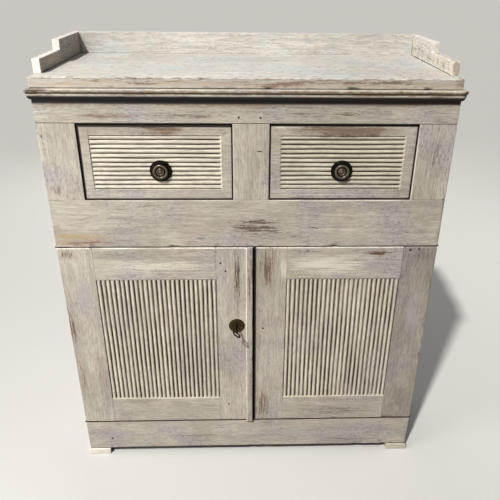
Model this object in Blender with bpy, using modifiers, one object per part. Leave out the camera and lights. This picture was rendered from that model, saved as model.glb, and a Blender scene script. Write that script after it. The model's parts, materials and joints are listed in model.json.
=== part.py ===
"""Painted country buffet cabinet: a stepped gallery, two reeded drawers and two reeded doors.

Metres, +Z up. The origin lies on the floor, midway between the sides and midway between the tip of
the key and the back. All places below are cabinet coordinates: X from the middle, Y backwards from
the front face of the frame, Z up from the floor. One empty carries them to the origin.
"""

import math

import bmesh
import bpy
from mathutils import Matrix, Vector

# Body, outside the mouldings
BODY_W = 0.860
BODY_D = 0.360
FOOT_H = 0.017
PLINTH_H = 0.093
DOOR_ZONE_H = 0.515
DRAWER_RAIL_H = 0.112
DRAWER_ZONE_H = 0.166
TOP_RAIL_H = 0.069

# Boards and joinery
FIT = 0.0003
FRAME_T = 0.022
SIDE_T = 0.020
TOP_T = 0.022
TOP_ROUND = 0.003
TOP_ROUND_FACETS = 2
BACK_T = 0.012
BACK_REBATE = 0.010
BACK_BOARDS = 3
BACK_BOARD_GAP = 0.0006
BOTTOM_T = 0.018
SHELF_T = 0.016
SHELF_UP = 0.242
SHELF_SETBACK = 0.060
DADO = 0.007
TENON_L = 0.022
TENON_T = 0.007
TENON_SHOULDER = 0.012
OVERCUT = 0.006

# Face frame round the drawers
SIDE_STILE_W = 0.078
CENTRE_STILE_W = 0.0756
CENTRE_STILE_SHIFT = 0.0043

# Feet, cornice and gallery
FOOT_W = 0.057
FOOT_PROUD = 0.003
CORNICE_H = 0.021
CORNICE_OUT = 0.009
CORNICE_FILLET = 0.007
CORNICE_QUIRK = 0.002
CORNICE_FOOT = 0.0015
OVOLO_FACETS = 4
GALLERY_T = 0.016
GALLERY_LOW_H = 0.0275
GALLERY_HIGH_H = 0.049
GALLERY_SETBACK = 0.038
GALLERY_STEP_RUN = 0.142

# Reeding
REED_DEPTH = 0.0042
REED_DROP = 0.0006
REED_HOLLOW = 0.0003
REED_HALF_ARC = math.radians(76)
REED_FACETS = 6
DOOR_REED_PITCH = 0.0108
DRAWER_REED_PITCH = 0.0094

# Drawers
DRAWER_SIDE_GAP = 0.002
DRAWER_TOP_GAP = 0.003
DRAWER_RUN_GAP = 0.0006
DRAWER_FRONT_GAP = 0.002
DRAWER_RECESS = 0.0025
DRAWER_FRONT_T = 0.020
DRAWER_SIDE_T = 0.012
DRAWER_SIDE_H = 0.140
DRAWER_LAP = 0.008
DRAWER_BACK_T = 0.012
DRAWER_BACK_SPACE = 0.016
DRAWER_BOTTOM_T = 0.006
DRAWER_BOTTOM_UP = 0.008
DRAWER_GROOVE = 0.005
DRAWER_BORDER = 0.022

# Runners under the drawers
RUNNER_T = 0.020
RUNNER_LIP = 0.016
GUIDE_H = 0.030

# Knobs
KNOB_DROP = 0.0165
LEFT_KNOB_SHIFT = 0.007
ROSETTE_R = 0.0232
ROSETTE_T = 0.003
KNOB_R = 0.0164
KNOB_REACH = 0.011
KNOB_STEM_R = 0.0025
KNOB_STEM_PAST = 0.004
STEM_CLEAR = 0.0003
TURNING_STEPS = 24

# Turned profiles as shares of the radius and of the height above the seat
ROSETTE_PROFILE = ((0.56, 0.7), (0.64, 1.0), (0.76, 1.0), (0.83, 0.55), (0.91, 0.85), (1.0, 0.45))
KNOB_BOSS_PROFILE = ((0.0, 1.0), (0.26, 0.96), (0.34, 0.84), (0.43, 0.92))
KNOB_HEAD_PROFILE = ((0.57, 0.78), (0.82, 0.92), (1.0, 0.74))
KNOB_NECK_PROFILE = ((0.95, 0.56), (0.46, 0.4), (0.46, 0.16), (0.6, 0.08), (0.6, 0.0))
ESCUTCHEON_PROFILE = ((0.0, 1.0), (0.58, 1.0), (0.66, 1.4), (0.8, 1.4), (0.88, 1.0), (1.0, 0.5), (1.0, 0.0))

# Doors
DOOR_BACK_GAP = 0.001
DOOR_END_CLEAR = 0.0012
MEETING_X = 0.0108
MEETING_GAP = 0.0035
HINGE_STILE_W = 0.077
LEFT_MEETING_STILE_W = 0.085
RIGHT_MEETING_STILE_W = 0.074
DOOR_TOP_RAIL_H = 0.082
DOOR_BOTTOM_RAIL_H = 0.074
PANEL_GROOVE = 0.008
PANEL_SPARE = 0.001
PANEL_TONGUE_T = 0.006
PANEL_TONGUE_IN = 0.0085
STRIP_W = 0.016
STRIP_T = 0.006
STRIP_SHOULDER = 0.0025
STRIP_DROP = 0.003
STRIP_FACETS = 8

# Door pivots
PIVOT_IN = 0.008
PIVOT_BACK = 0.008
PIVOT_ARC_FACETS = 6
PIN_R = 0.003
PIN_L = 0.012
PIN_CLEAR = 0.0003
PIN_FACETS = 20
PIVOT_PLATE_T = 0.0015
PIVOT_PLATE_L = 0.034
PIVOT_PLATE_W = 0.014
PIVOT_EAR = 0.003

# Lock and key
KEY_FROM_EDGE = 0.039
KEY_UP = 0.299
KEY_REACH = 0.047
KEY_TILT = math.radians(40)
KEY_SHANK_R = 0.0026
KEY_CLEAR = 0.0004
KEY_PIN_PAST = 0.0015
BOW_W = 0.024
BOW_L = 0.018
BOW_WIRE_R = 0.002
BOW_POINTS = 20
BIT_R = 0.009
BIT_L = 0.007
BIT_T = 0.0024
ESCUTCHEON_R = 0.019
ESCUTCHEON_T = 0.002
KEYHOLE_SLOT_W = 0.0036
LOCK_INSET = 0.007
LOCK_W = 0.054
LOCK_BELOW = 0.016
LOCK_ABOVE = 0.028
LOCK_D = 0.014
LOCK_WALL = 0.002
BOLT_L = 0.036
BOLT_H = 0.011
BOLT_T = 0.006
BOLT_INSET = 0.004
BOLT_OVER_BIT = 0.0015

# Mesh and display settings
WELD = 1e-6
TURNING_WELD = 1e-5
FLAT_ANGLE = 1e-3
SHARP_ANGLE = math.radians(40)
EMPTY_SIZE = 0.03

# Levels and planes that follow from the sizes above
HALF_W = BODY_W / 2
PLINTH_TOP = FOOT_H + PLINTH_H
RAIL_BOTTOM = PLINTH_TOP + DOOR_ZONE_H
RAIL_TOP = RAIL_BOTTOM + DRAWER_RAIL_H
DRAWERS_TOP = RAIL_TOP + DRAWER_ZONE_H
TOP_BOTTOM = DRAWERS_TOP + TOP_RAIL_H
TOP_TOP = TOP_BOTTOM + TOP_T
INNER_X = HALF_W - SIDE_T
SIDE_FRONT = FRAME_T + FIT
BACK_FRONT = BODY_D - BACK_T
OPENINGS = {
    "left": (SIDE_STILE_W - HALF_W, CENTRE_STILE_SHIFT - CENTRE_STILE_W / 2),
    "right": (CENTRE_STILE_SHIFT + CENTRE_STILE_W / 2, HALF_W - SIDE_STILE_W),
}
DOOR_T = FRAME_T - DOOR_BACK_GAP
DOOR_GAP = FIT + PIVOT_PLATE_T + DOOR_END_CLEAR
DOOR_BOTTOM = PLINTH_TOP + DOOR_GAP
DOOR_TOP = RAIL_BOTTOM - DOOR_GAP
FIELD_BOTTOM = DOOR_BOTTOM + DOOR_BOTTOM_RAIL_H
FIELD_TOP = DOOR_TOP - DOOR_TOP_RAIL_H
SIGNS = {"left": -1, "right": 1}
DOOR_EDGES = {side: MEETING_X + sign * MEETING_GAP / 2 for side, sign in SIGNS.items()}
MEETING_WIDTHS = {"left": LEFT_MEETING_STILE_W, "right": RIGHT_MEETING_STILE_W}
KEY_X = DOOR_EDGES["left"] - KEY_FROM_EDGE
KEY_Z = DOOR_BOTTOM + KEY_UP
LOCK_BACK = DOOR_T + FIT + LOCK_D
FRONT_Y = (KEY_REACH - BODY_D) / 2

# Finishes as linear colour, roughness and metal
FINISHES = {
    "paint": ((0.56, 0.51, 0.43), 0.70, 0.0),
    "reeds": ((0.68, 0.62, 0.50), 0.65, 0.0),
    "pine": ((0.36, 0.23, 0.12), 0.75, 0.0),
    "brass": ((0.16, 0.11, 0.06), 0.42, 1.0),
    "iron": ((0.05, 0.045, 0.04), 0.60, 1.0),
}

# Turns that lay an outline's own X and Y on two axes and its thickness on the third
OUTLINE_TURNS = {
    "X": Matrix(((0, 0, 1), (1, 0, 0), (0, 1, 0))).to_4x4(),
    "Y": Matrix(((1, 0, 0), (0, 0, -1), (0, 1, 0))).to_4x4(),
    "Z": Matrix.Identity(4),
}


def clear_scene():
    for old in list(bpy.data.objects):
        bpy.data.objects.remove(old)


def new_collection(name):
    made = bpy.data.collections.new(name)
    bpy.context.scene.collection.children.link(made)
    return made


clear_scene()
PARTS = new_collection("buffet_cabinet")
CUTTERS = new_collection("cutters")
PLACES = {}


def add_empty(name, place, parent=None):
    """An empty on a joint's axis. Its place is kept so that pieces can be set in cabinet coordinates."""
    made = bpy.data.objects.new(name, None)
    PARTS.objects.link(made)
    made.empty_display_size = EMPTY_SIZE
    PLACES[name] = Vector(place)
    if parent:
        made.parent = parent
        made.location = PLACES[name] - PLACES[parent.name]
    return made


def add_part(name, mesh, place, parent, finish):
    color, roughness, metallic = FINISHES[finish]
    made = bpy.data.materials.new(f"{name}_{finish}")
    made.use_nodes = True
    shader = made.node_tree.nodes["Principled BSDF"]
    shader.inputs["Base Color"].default_value = (*color, 1.0)
    shader.inputs["Roughness"].default_value = roughness
    shader.inputs["Metallic"].default_value = metallic
    mesh.materials.append(made)
    part = bpy.data.objects.new(name, mesh)
    PARTS.objects.link(part)
    part.parent = parent
    part.location = Vector(place) - PLACES[parent.name]
    return part


def add_cutter(name, mesh, place, parent):
    tool = bpy.data.objects.new(name, mesh)
    CUTTERS.objects.link(tool)
    tool.hide_render = True
    tool.display_type = "WIRE"
    tool.parent = parent
    tool.location = Vector(place) - PLACES[parent.name]
    return tool


def combine(part, tool, operation="DIFFERENCE"):
    step = part.modifiers.new(tool.name, "BOOLEAN")
    step.operation = operation
    step.solver = "EXACT"
    step.object = tool


def mesh_from(bm, name):
    mesh = bpy.data.meshes.new(name)
    bm.to_mesh(mesh)
    bm.free()
    return mesh


def box_mesh(name, size):
    bm = bmesh.new()
    bmesh.ops.create_cube(bm, size=1.0, matrix=Matrix.Diagonal((*size, 1.0)))
    return mesh_from(bm, name)


def rod_mesh(name, radius, length, axis):
    """A round bar along X, Y or Z, centred on its origin."""
    bm = bmesh.new()
    bmesh.ops.create_cone(
        bm,
        cap_ends=True,
        segments=PIN_FACETS,
        radius1=radius,
        radius2=radius,
        depth=length,
        matrix=OUTLINE_TURNS[axis],
    )
    mesh = mesh_from(bm, name)
    mesh.shade_smooth()
    mesh.set_sharp_from_angle(angle=SHARP_ANGLE)
    return mesh


def mesh_of_curve(name, curve):
    """The closed mesh of a curve, with its loose caps welded."""
    holder = bpy.data.objects.new(name, curve)
    CUTTERS.objects.link(holder)
    graph = bpy.context.evaluated_depsgraph_get()
    mesh = bpy.data.meshes.new_from_object(holder.evaluated_get(graph))
    bpy.data.objects.remove(holder)
    bpy.data.curves.remove(curve)
    bm = bmesh.new()
    bm.from_mesh(mesh)
    bpy.data.meshes.remove(mesh)
    bmesh.ops.remove_doubles(bm, verts=bm.verts, dist=WELD)
    bmesh.ops.recalc_face_normals(bm, faces=bm.faces)
    return bm


def outline_mesh(name, outline, axis, length):
    """A flat outline given that length along X, Y or Z, centred on its own plane."""
    curve = bpy.data.curves.new(name, "CURVE")
    curve.dimensions = "2D"
    curve.fill_mode = "BOTH"
    curve.extrude = length / 2
    spline = curve.splines.new("POLY")
    spline.points.add(len(outline) - 1)
    for point, (across, up) in zip(spline.points, outline):
        point.co = (across, up, 0.0, 1.0)
    spline.use_cyclic_u = True
    bm = mesh_of_curve(name, curve)
    bmesh.ops.dissolve_limit(bm, angle_limit=FLAT_ANGLE, verts=bm.verts, edges=bm.edges)
    bm.transform(OUTLINE_TURNS[axis])
    return mesh_from(bm, name)


def board(name, low, high, parent, finish="paint"):
    low = Vector(low)
    high = Vector(high)
    return add_part(name, box_mesh(name, high - low), (low + high) / 2, parent, finish)


def box_tool(part, label, low, high):
    low = Vector(low)
    high = Vector(high)
    name = f"{part.name}_{label}"
    return add_cutter(name, box_mesh(name, high - low), (low + high) / 2, part.parent)


def cut_box(part, label, low, high):
    combine(part, box_tool(part, label, low, high))


def join_box(part, label, low, high):
    combine(part, box_tool(part, label, low, high), "UNION")


def cut_rod(part, label, place, radius, length, axis):
    name = f"{part.name}_{label}"
    tool = add_cutter(name, rod_mesh(name, radius, length, axis), place, part.parent)
    combine(part, tool)


def mirrored(sign, near, far):
    """Two distances from the middle on one side, as X values in rising order."""
    return sorted((sign * near, sign * far))


def turned(name, profile, place, parent, finish, closed=False):
    """A profile of (radius, reach) points turned about an axis that points out of the front."""
    bm = bmesh.new()
    points = [bm.verts.new((radius, 0.0, reach)) for radius, reach in profile]
    ends = points[1:] + points[:1] if closed else points[1:]
    for start, end in zip(points, ends):
        bm.edges.new((start, end))
    part = add_part(name, mesh_from(bm, name), place, parent, finish)
    part.rotation_euler.x = math.pi / 2
    screw = part.modifiers.new("turned", "SCREW")
    screw.steps = TURNING_STEPS
    screw.render_steps = TURNING_STEPS
    screw.use_merge_vertices = True
    screw.merge_threshold = TURNING_WELD
    screw.use_smooth_shade = True
    return part


def reed_line(start, width, pitch):
    """Points (along, depth) over a row of round reeds on a field that is worn a little hollow."""
    count = max(1, round(width / pitch))
    total = count * REED_FACETS
    points = []
    for index in range(total + 1):
        share = index / total
        across = (index % REED_FACETS) / REED_FACETS * 2 - 1
        angle = math.asin(across * math.sin(REED_HALF_ARC))
        depth = REED_DEPTH * (1 - math.cos(angle)) / (1 - math.cos(REED_HALF_ARC))
        depth += REED_HOLLOW * 4 * share * (1 - share)
        points.append((start + share * width, depth))
    return points


CABINET = add_empty("cabinet_origin", (0.0, 0.0, 0.0))
CABINET.location.y = FRONT_Y


def make_frame():
    """Rails across the whole front and three stiles tenoned between the upper two."""
    for name, low, high in (
        ("plinth_rail", FOOT_H, PLINTH_TOP),
        ("drawer_rail", RAIL_BOTTOM, RAIL_TOP),
        ("top_rail", DRAWERS_TOP, TOP_BOTTOM - FIT),
    ):
        board(name, (-HALF_W, 0.0, low), (HALF_W, FRAME_T, high), CABINET)
    spans = {
        "left_stile": (-HALF_W, OPENINGS["left"][0]),
        "centre_stile": (OPENINGS["left"][1], OPENINGS["right"][0]),
        "right_stile": (OPENINGS["right"][1], HALF_W),
    }
    tenon_front = (FRAME_T - TENON_T) / 2
    tenon_back = tenon_front + TENON_T
    for name, (left, right) in spans.items():
        stile = board(name, (left, 0.0, RAIL_TOP + FIT), (right, FRAME_T, DRAWERS_TOP - FIT), CABINET)
        low = Vector((left + TENON_SHOULDER, tenon_front, RAIL_TOP - TENON_L))
        high = Vector((right - TENON_SHOULDER, tenon_back, DRAWERS_TOP + TENON_L))
        join_box(stile, "tenon", low, high)
        slack = Vector((FIT, FIT, FIT))
        for rail in ("drawer_rail", "top_rail"):
            cut_box(PARTS.objects[rail], f"mortise_{name}", low - slack, high + slack)


def make_carcass():
    """Sides with housings and a rear rebate, the boards they hold, and the back."""
    housed_x = INNER_X + DADO
    levels = {
        "bottom_board": (PLINTH_TOP - BOTTOM_T, BOTTOM_T, SIDE_FRONT, OVERCUT),
        "shelf": (PLINTH_TOP + SHELF_UP, SHELF_T, SHELF_SETBACK, FIT),
    }
    for name, (low, thick, front, _) in levels.items():
        board(
            name,
            (FIT - housed_x, front, low),
            (housed_x - FIT, BACK_FRONT - FIT, low + thick),
            CABINET,
            "pine",
        )
    rebate_x = INNER_X + BACK_REBATE
    for side, sign in SIGNS.items():
        left, right = mirrored(sign, INNER_X, HALF_W)
        panel = board(f"{side}_side", (left, SIDE_FRONT, FOOT_H), (right, BODY_D, TOP_BOTTOM - FIT), CABINET)
        left, right = mirrored(sign, INNER_X - OVERCUT, rebate_x)
        cut_box(
            panel,
            "rebate",
            (left, BACK_FRONT - FIT, FOOT_H - OVERCUT),
            (right, BODY_D + OVERCUT, TOP_BOTTOM + OVERCUT),
        )
        left, right = mirrored(sign, INNER_X - OVERCUT, housed_x)
        for name, (low, thick, front, ahead) in levels.items():
            cut_box(
                panel,
                f"housing_{name}",
                (left, front - ahead, low - FIT),
                (right, BODY_D + OVERCUT, low + thick + FIT),
            )
    span = 2 * (rebate_x - FIT)
    width = (span - (BACK_BOARDS - 1) * BACK_BOARD_GAP) / BACK_BOARDS
    for index in range(BACK_BOARDS):
        left = FIT - rebate_x + index * (width + BACK_BOARD_GAP)
        board(
            f"back_board_{index + 1}",
            (left, BACK_FRONT, FOOT_H),
            (left + width, BODY_D, TOP_BOTTOM - FIT),
            CABINET,
            "pine",
        )


def make_feet():
    for side, sign in SIGNS.items():
        outer = HALF_W + FOOT_PROUD
        left, right = mirrored(sign, outer - FOOT_W, outer)
        for row, front in (("front", -FOOT_PROUD), ("back", BODY_D - FOOT_W)):
            board(
                f"{row}_{side}_foot",
                (left, front, 0.0),
                (right, front + FOOT_W, FOOT_H - FIT),
                CABINET,
            )


def make_top():
    top = board("top_board", (-HALF_W, 0.0, TOP_BOTTOM), (HALF_W, BODY_D, TOP_TOP), CABINET)
    soft = top.modifiers.new("worn_edges", "BEVEL")
    soft.width = TOP_ROUND
    soft.segments = TOP_ROUND_FACETS
    inner_x = HALF_W - GALLERY_T
    base = TOP_TOP + FIT
    step_y = GALLERY_SETBACK + GALLERY_STEP_RUN
    board(
        "gallery_back",
        (FIT - inner_x, BODY_D - GALLERY_T, base),
        (inner_x - FIT, BODY_D, base + GALLERY_HIGH_H),
        CABINET,
    )
    outline = [
        (GALLERY_SETBACK, 0.0),
        (BODY_D, 0.0),
        (BODY_D, GALLERY_HIGH_H),
        (step_y, GALLERY_HIGH_H),
        (step_y, GALLERY_LOW_H),
        (GALLERY_SETBACK, GALLERY_LOW_H),
    ]
    for side, sign in SIGNS.items():
        name = f"gallery_{side}"
        place = (sign * (HALF_W - GALLERY_T / 2), 0.0, base)
        add_part(name, outline_mesh(name, outline, "X", GALLERY_T), place, CABINET, "paint")


def cornice_profile():
    """(out, up) from the wall: a foot, an ovolo, a quirk and a square fillet on top."""
    ovolo_out = CORNICE_OUT - CORNICE_QUIRK
    ovolo_top = CORNICE_H - CORNICE_FILLET
    points = [(0.0, 0.0)]
    for index in range(OVOLO_FACETS + 1):
        angle = index / OVOLO_FACETS * math.pi / 2
        out = CORNICE_FOOT + (ovolo_out - CORNICE_FOOT) * math.sin(angle)
        points.append((out, ovolo_top * (1 - math.cos(angle))))
    return points + [(CORNICE_OUT, ovolo_top), (CORNICE_OUT, CORNICE_H), (0.0, CORNICE_H)]


def make_cornice():
    """Three lengths of moulding, mitred at the front corners by setting each end out with its profile."""
    base = TOP_BOTTOM - FIT - CORNICE_H
    profile = cornice_profile()
    front = outline_mesh("cornice_front", [(-out, up) for out, up in profile], "X", BODY_W)
    for vertex in front.vertices:
        vertex.co.x = math.copysign(HALF_W - vertex.co.y, vertex.co.x)
    add_part("cornice_front", front, (0.0, -FIT, base), CABINET, "paint")
    for side, sign in SIGNS.items():
        name = f"cornice_{side}"
        outline = [(sign * out, up) for out, up in profile]
        length = outline_mesh(name, outline, "Y", BODY_D)
        for vertex in length.vertices:
            vertex.co.y = BODY_D if vertex.co.y > 0 else FIT - abs(vertex.co.x)
        add_part(name, length, (sign * (HALF_W + FIT), 0.0, base), CABINET, "paint")


def make_runners():
    """A ledge under each drawer side, with a guide beside it. The middle one serves both drawers."""
    low = RAIL_TOP - RUNNER_T
    guide_top = RAIL_TOP + GUIDE_H
    wall = INNER_X - FIT
    guide = HALF_W - SIDE_STILE_W
    lip = guide - RUNNER_LIP
    beside = [
        (wall, low),
        (wall, guide_top),
        (guide, guide_top),
        (guide, RAIL_TOP),
        (lip, RAIL_TOP),
        (lip, low),
    ]
    outlines = {f"{side}_runner": [(sign * x, z) for x, z in beside] for side, sign in SIGNS.items()}
    left = OPENINGS["left"][1]
    right = OPENINGS["right"][0]
    outlines["centre_runner"] = [
        (left - RUNNER_LIP, low),
        (right + RUNNER_LIP, low),
        (right + RUNNER_LIP, RAIL_TOP),
        (right, RAIL_TOP),
        (right, guide_top),
        (left, guide_top),
        (left, RAIL_TOP),
        (left - RUNNER_LIP, RAIL_TOP),
    ]
    length = BACK_FRONT - FIT - SIDE_FRONT
    place = (0.0, SIDE_FRONT + length / 2, 0.0)
    for name, outline in outlines.items():
        add_part(name, outline_mesh(name, outline, "Y", length), place, CABINET, "pine")


def make_drawer(side, knob_shift):
    """A box of five boards with a reeded front, on an empty at the middle of its front."""
    left = OPENINGS[side][0] + DRAWER_SIDE_GAP
    right = OPENINGS[side][1] - DRAWER_SIDE_GAP
    low = RAIL_TOP + DRAWER_RUN_GAP
    front_low = RAIL_TOP + DRAWER_FRONT_GAP
    high = DRAWERS_TOP - DRAWER_TOP_GAP
    face = DRAWER_RECESS
    rear = DRAWER_RECESS + DRAWER_FRONT_T
    end = BACK_FRONT - DRAWER_BACK_SPACE
    middle = Vector(((left + right) / 2, face, (low + high) / 2))
    slide = add_empty(f"{side}_drawer_slide", middle, CABINET)
    prefix = f"{side}_drawer"

    front = board(f"{prefix}_front", (left, face, front_low), (right, rear, high), slide, "reeds")
    field_low = front_low + DRAWER_BORDER
    field_high = high - DRAWER_BORDER
    crown = face + REED_DROP
    reeds = reed_line(field_low, field_high - field_low, DRAWER_REED_PITCH)
    outline = [(crown + depth, along) for along, depth in reeds]
    outline += [(face - OVERCUT, field_high), (face - OVERCUT, field_low)]
    tool_name = f"{prefix}_front_reeds"
    tool_mesh = outline_mesh(tool_name, outline, "X", right - left - 2 * DRAWER_BORDER)
    combine(front, add_cutter(tool_name, tool_mesh, (middle.x, 0.0, 0.0), slide))

    side_top = low + DRAWER_SIDE_H
    groove_low = low + DRAWER_BOTTOM_UP
    groove_high = groove_low + DRAWER_BOTTOM_T
    inner_left = left + DRAWER_SIDE_T
    inner_right = right - DRAWER_SIDE_T
    for hand, near, far, groove in (
        ("left", left, inner_left, inner_left - DRAWER_GROOVE),
        ("right", right, inner_right, inner_right + DRAWER_GROOVE),
    ):
        outward = math.copysign(1, near - far)
        lap_left, lap_right = sorted((near + outward * OVERCUT, far - outward * FIT))
        cut_box(
            front,
            f"{hand}_lap",
            (lap_left, rear - DRAWER_LAP, low - OVERCUT),
            (lap_right, rear + OVERCUT, side_top + FIT),
        )
        side_left, side_right = sorted((near, far))
        wall = board(
            f"{prefix}_{hand}_side",
            (side_left, rear - DRAWER_LAP + FIT, low),
            (side_right, end, side_top),
            slide,
            "pine",
        )
        groove_left, groove_right = sorted((groove, far - outward * OVERCUT))
        cut_box(
            wall,
            "groove",
            (groove_left, rear - DRAWER_LAP - OVERCUT, groove_low - FIT),
            (groove_right, end + OVERCUT, groove_high + FIT),
        )
    bottom_left = inner_left - DRAWER_GROOVE + FIT
    bottom_right = inner_right + DRAWER_GROOVE - FIT
    cut_box(
        front,
        "groove",
        (bottom_left - FIT, rear - DRAWER_GROOVE, groove_low - FIT),
        (bottom_right + FIT, rear + OVERCUT, groove_high + FIT),
    )
    board(
        f"{prefix}_bottom",
        (bottom_left, rear - DRAWER_GROOVE + FIT, groove_low),
        (bottom_right, end, groove_high),
        slide,
        "pine",
    )
    board(
        f"{prefix}_back",
        (inner_left + FIT, end - DRAWER_BACK_T, groove_high + FIT),
        (inner_right - FIT, end, side_top),
        slide,
        "pine",
    )
    make_knob(side, front, Vector((middle.x + knob_shift, crown - FIT, middle.z - KNOB_DROP)), rear, slide)


def make_knob(side, front, place, rear, slide):
    """A dished rosette and a turned knob whose stem goes through both it and the drawer front."""
    hole = KNOB_STEM_R + STEM_CLEAR
    cut_rod(front, "stem_hole", (place.x, rear, place.z), hole, 4 * DRAWER_FRONT_T, "Y")
    seat = ROSETTE_PROFILE[0][1] * ROSETTE_T
    rosette = [(hole, seat)]
    rosette += [(out * ROSETTE_R, up * ROSETTE_T) for out, up in ROSETTE_PROFILE]
    rosette += [(ROSETTE_R, 0.0), (hole, 0.0)]
    turned(f"{side}_drawer_rosette", rosette, place, slide, "brass", closed=True)
    neck = seat + FIT
    rise = KNOB_REACH - neck
    tail = place.y - rear - KNOB_STEM_PAST
    profile = KNOB_BOSS_PROFILE + KNOB_HEAD_PROFILE + KNOB_NECK_PROFILE
    knob = [(out * KNOB_R, neck + up * rise) for out, up in profile]
    knob += [(KNOB_STEM_R, neck), (KNOB_STEM_R, tail), (0.0, tail)]
    turned(f"{side}_drawer_knob", knob, place, slide, "brass")


def hinge_stile_outline(sign):
    """Plan of a hinge stile. Its rear outer edge is an arc about the pivot, so that it clears the side."""
    sweep = DOOR_T - PIVOT_BACK
    last = math.acos(-PIVOT_IN / sweep)
    points = [(0.0, 0.0), (HINGE_STILE_W, 0.0), (HINGE_STILE_W, DOOR_T)]
    for index in range(PIVOT_ARC_FACETS + 1):
        angle = math.pi / 2 + (last - math.pi / 2) * index / PIVOT_ARC_FACETS
        points.append((PIVOT_IN + sweep * math.cos(angle), PIVOT_BACK + sweep * math.sin(angle)))
    return [(sign * (HALF_W - inward), back) for inward, back in points]


def pivot_place(sign):
    return Vector((sign * (HALF_W - PIVOT_IN), PIVOT_BACK, (DOOR_BOTTOM + DOOR_TOP) / 2))


def make_door(side):
    """A tenoned frame round a reeded panel. Returns its empty, which stands on the pivots' axis."""
    sign = SIGNS[side]
    swing = add_empty(f"{side}_door_swing", pivot_place(sign), CABINET)
    prefix = f"{side}_door"
    edge = DOOR_EDGES[side]
    hinge_x = sign * (HALF_W - HINGE_STILE_W)
    meeting_x = edge + sign * MEETING_WIDTHS[side]
    field_left, field_right = sorted((hinge_x, meeting_x))

    name = f"{prefix}_hinge_stile"
    height = DOOR_TOP - DOOR_BOTTOM
    plan = outline_mesh(name, hinge_stile_outline(sign), "Z", height)
    hinge_stile = add_part(name, plan, (0.0, 0.0, (DOOR_BOTTOM + DOOR_TOP) / 2), swing, "paint")
    for label, level in (("top_pin_hole", DOOR_TOP), ("bottom_pin_hole", DOOR_BOTTOM)):
        place = pivot_place(sign)
        place.z = level
        cut_rod(hinge_stile, label, place, PIN_R + PIN_CLEAR, 2 * (PIN_L + PIN_CLEAR), "Z")
    left, right = sorted((meeting_x, edge))
    meeting_stile = board(
        f"{prefix}_meeting_stile", (left, 0.0, DOOR_BOTTOM), (right, DOOR_T, DOOR_TOP), swing
    )

    tongue_front = PANEL_TONGUE_IN
    tongue_back = PANEL_TONGUE_IN + PANEL_TONGUE_T
    tenon_front = (DOOR_T - TENON_T) / 2
    rails = {"top": (FIELD_TOP, DOOR_TOP), "bottom": (DOOR_BOTTOM, FIELD_BOTTOM)}
    slack = Vector((FIT, FIT, FIT))
    for row, (low, high) in rails.items():
        rail = board(
            f"{prefix}_{row}_rail", (field_left + FIT, 0.0, low), (field_right - FIT, DOOR_T, high), swing
        )
        tenon_low = Vector((field_left - TENON_L, tenon_front, low + TENON_SHOULDER))
        tenon_high = Vector((field_right + TENON_L, tenon_front + TENON_T, high - TENON_SHOULDER))
        join_box(rail, "tenon", tenon_low, tenon_high)
        for stile in (hinge_stile, meeting_stile):
            cut_box(stile, f"{row}_mortise", tenon_low - slack, tenon_high + slack)
        inner = FIELD_TOP if row == "top" else FIELD_BOTTOM
        into = PANEL_GROOVE if row == "top" else -PANEL_GROOVE
        groove_low, groove_high = sorted((inner + into, inner - math.copysign(OVERCUT, into)))
        cut_box(
            rail,
            "groove",
            (field_left - OVERCUT, tongue_front - FIT, groove_low),
            (field_right + OVERCUT, tongue_back + FIT, groove_high),
        )
    for stile, inner, into in (
        (hinge_stile, hinge_x, sign * PANEL_GROOVE),
        (meeting_stile, meeting_x, -sign * PANEL_GROOVE),
    ):
        groove_left, groove_right = sorted((inner + into, inner - math.copysign(OVERCUT, into)))
        cut_box(
            stile,
            "groove",
            (groove_left, tongue_front - FIT, FIELD_BOTTOM - PANEL_GROOVE),
            (groove_right, tongue_back + FIT, FIELD_TOP + PANEL_GROOVE),
        )

    reach = PANEL_GROOVE - PANEL_SPARE
    panel = board(
        f"{prefix}_panel",
        (field_left - reach, tongue_front, FIELD_BOTTOM - reach),
        (field_right + reach, tongue_back, FIELD_TOP + reach),
        swing,
        "reeds",
    )
    reeds = reed_line(field_left + FIT, field_right - field_left - 2 * FIT, DOOR_REED_PITCH)
    outline = [(along, REED_DROP + depth) for along, depth in reeds]
    middle_y = (tongue_front + tongue_back) / 2
    outline += [(field_right - FIT, middle_y), (field_left + FIT, middle_y)]
    tool_name = f"{prefix}_panel_reeds"
    reeded = outline_mesh(tool_name, outline, "Z", FIELD_TOP - FIELD_BOTTOM - 2 * FIT)
    place = (0.0, 0.0, (FIELD_BOTTOM + FIELD_TOP) / 2)
    combine(panel, add_cutter(tool_name, reeded, place, swing), "UNION")
    return swing


def make_pivots(side):
    """Iron plates in the gaps above and below a door, each with a pin that enters the door's end."""
    sign = SIGNS[side]
    pivot = pivot_place(sign)
    near, far = mirrored(sign, HALF_W + PIVOT_EAR - PIVOT_PLATE_L, HALF_W + PIVOT_EAR)
    front = pivot.y - PIVOT_PLATE_W / 2
    rows = {
        "top": (RAIL_BOTTOM - FIT - PIVOT_PLATE_T, DOOR_TOP - PIN_L),
        "bottom": (PLINTH_TOP + FIT, DOOR_BOTTOM + PIN_L),
    }
    for row, (low, tip) in rows.items():
        plate = board(
            f"{side}_{row}_pivot",
            (near, front, low),
            (far, front + PIVOT_PLATE_W, low + PIVOT_PLATE_T),
            CABINET,
            "iron",
        )
        root = low + PIVOT_PLATE_T / 2
        name = f"{plate.name}_pin"
        pin = rod_mesh(name, PIN_R, abs(root - tip), "Z")
        combine(plate, add_cutter(name, pin, (pivot.x, pivot.y, (root + tip) / 2), CABINET), "UNION")


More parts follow.
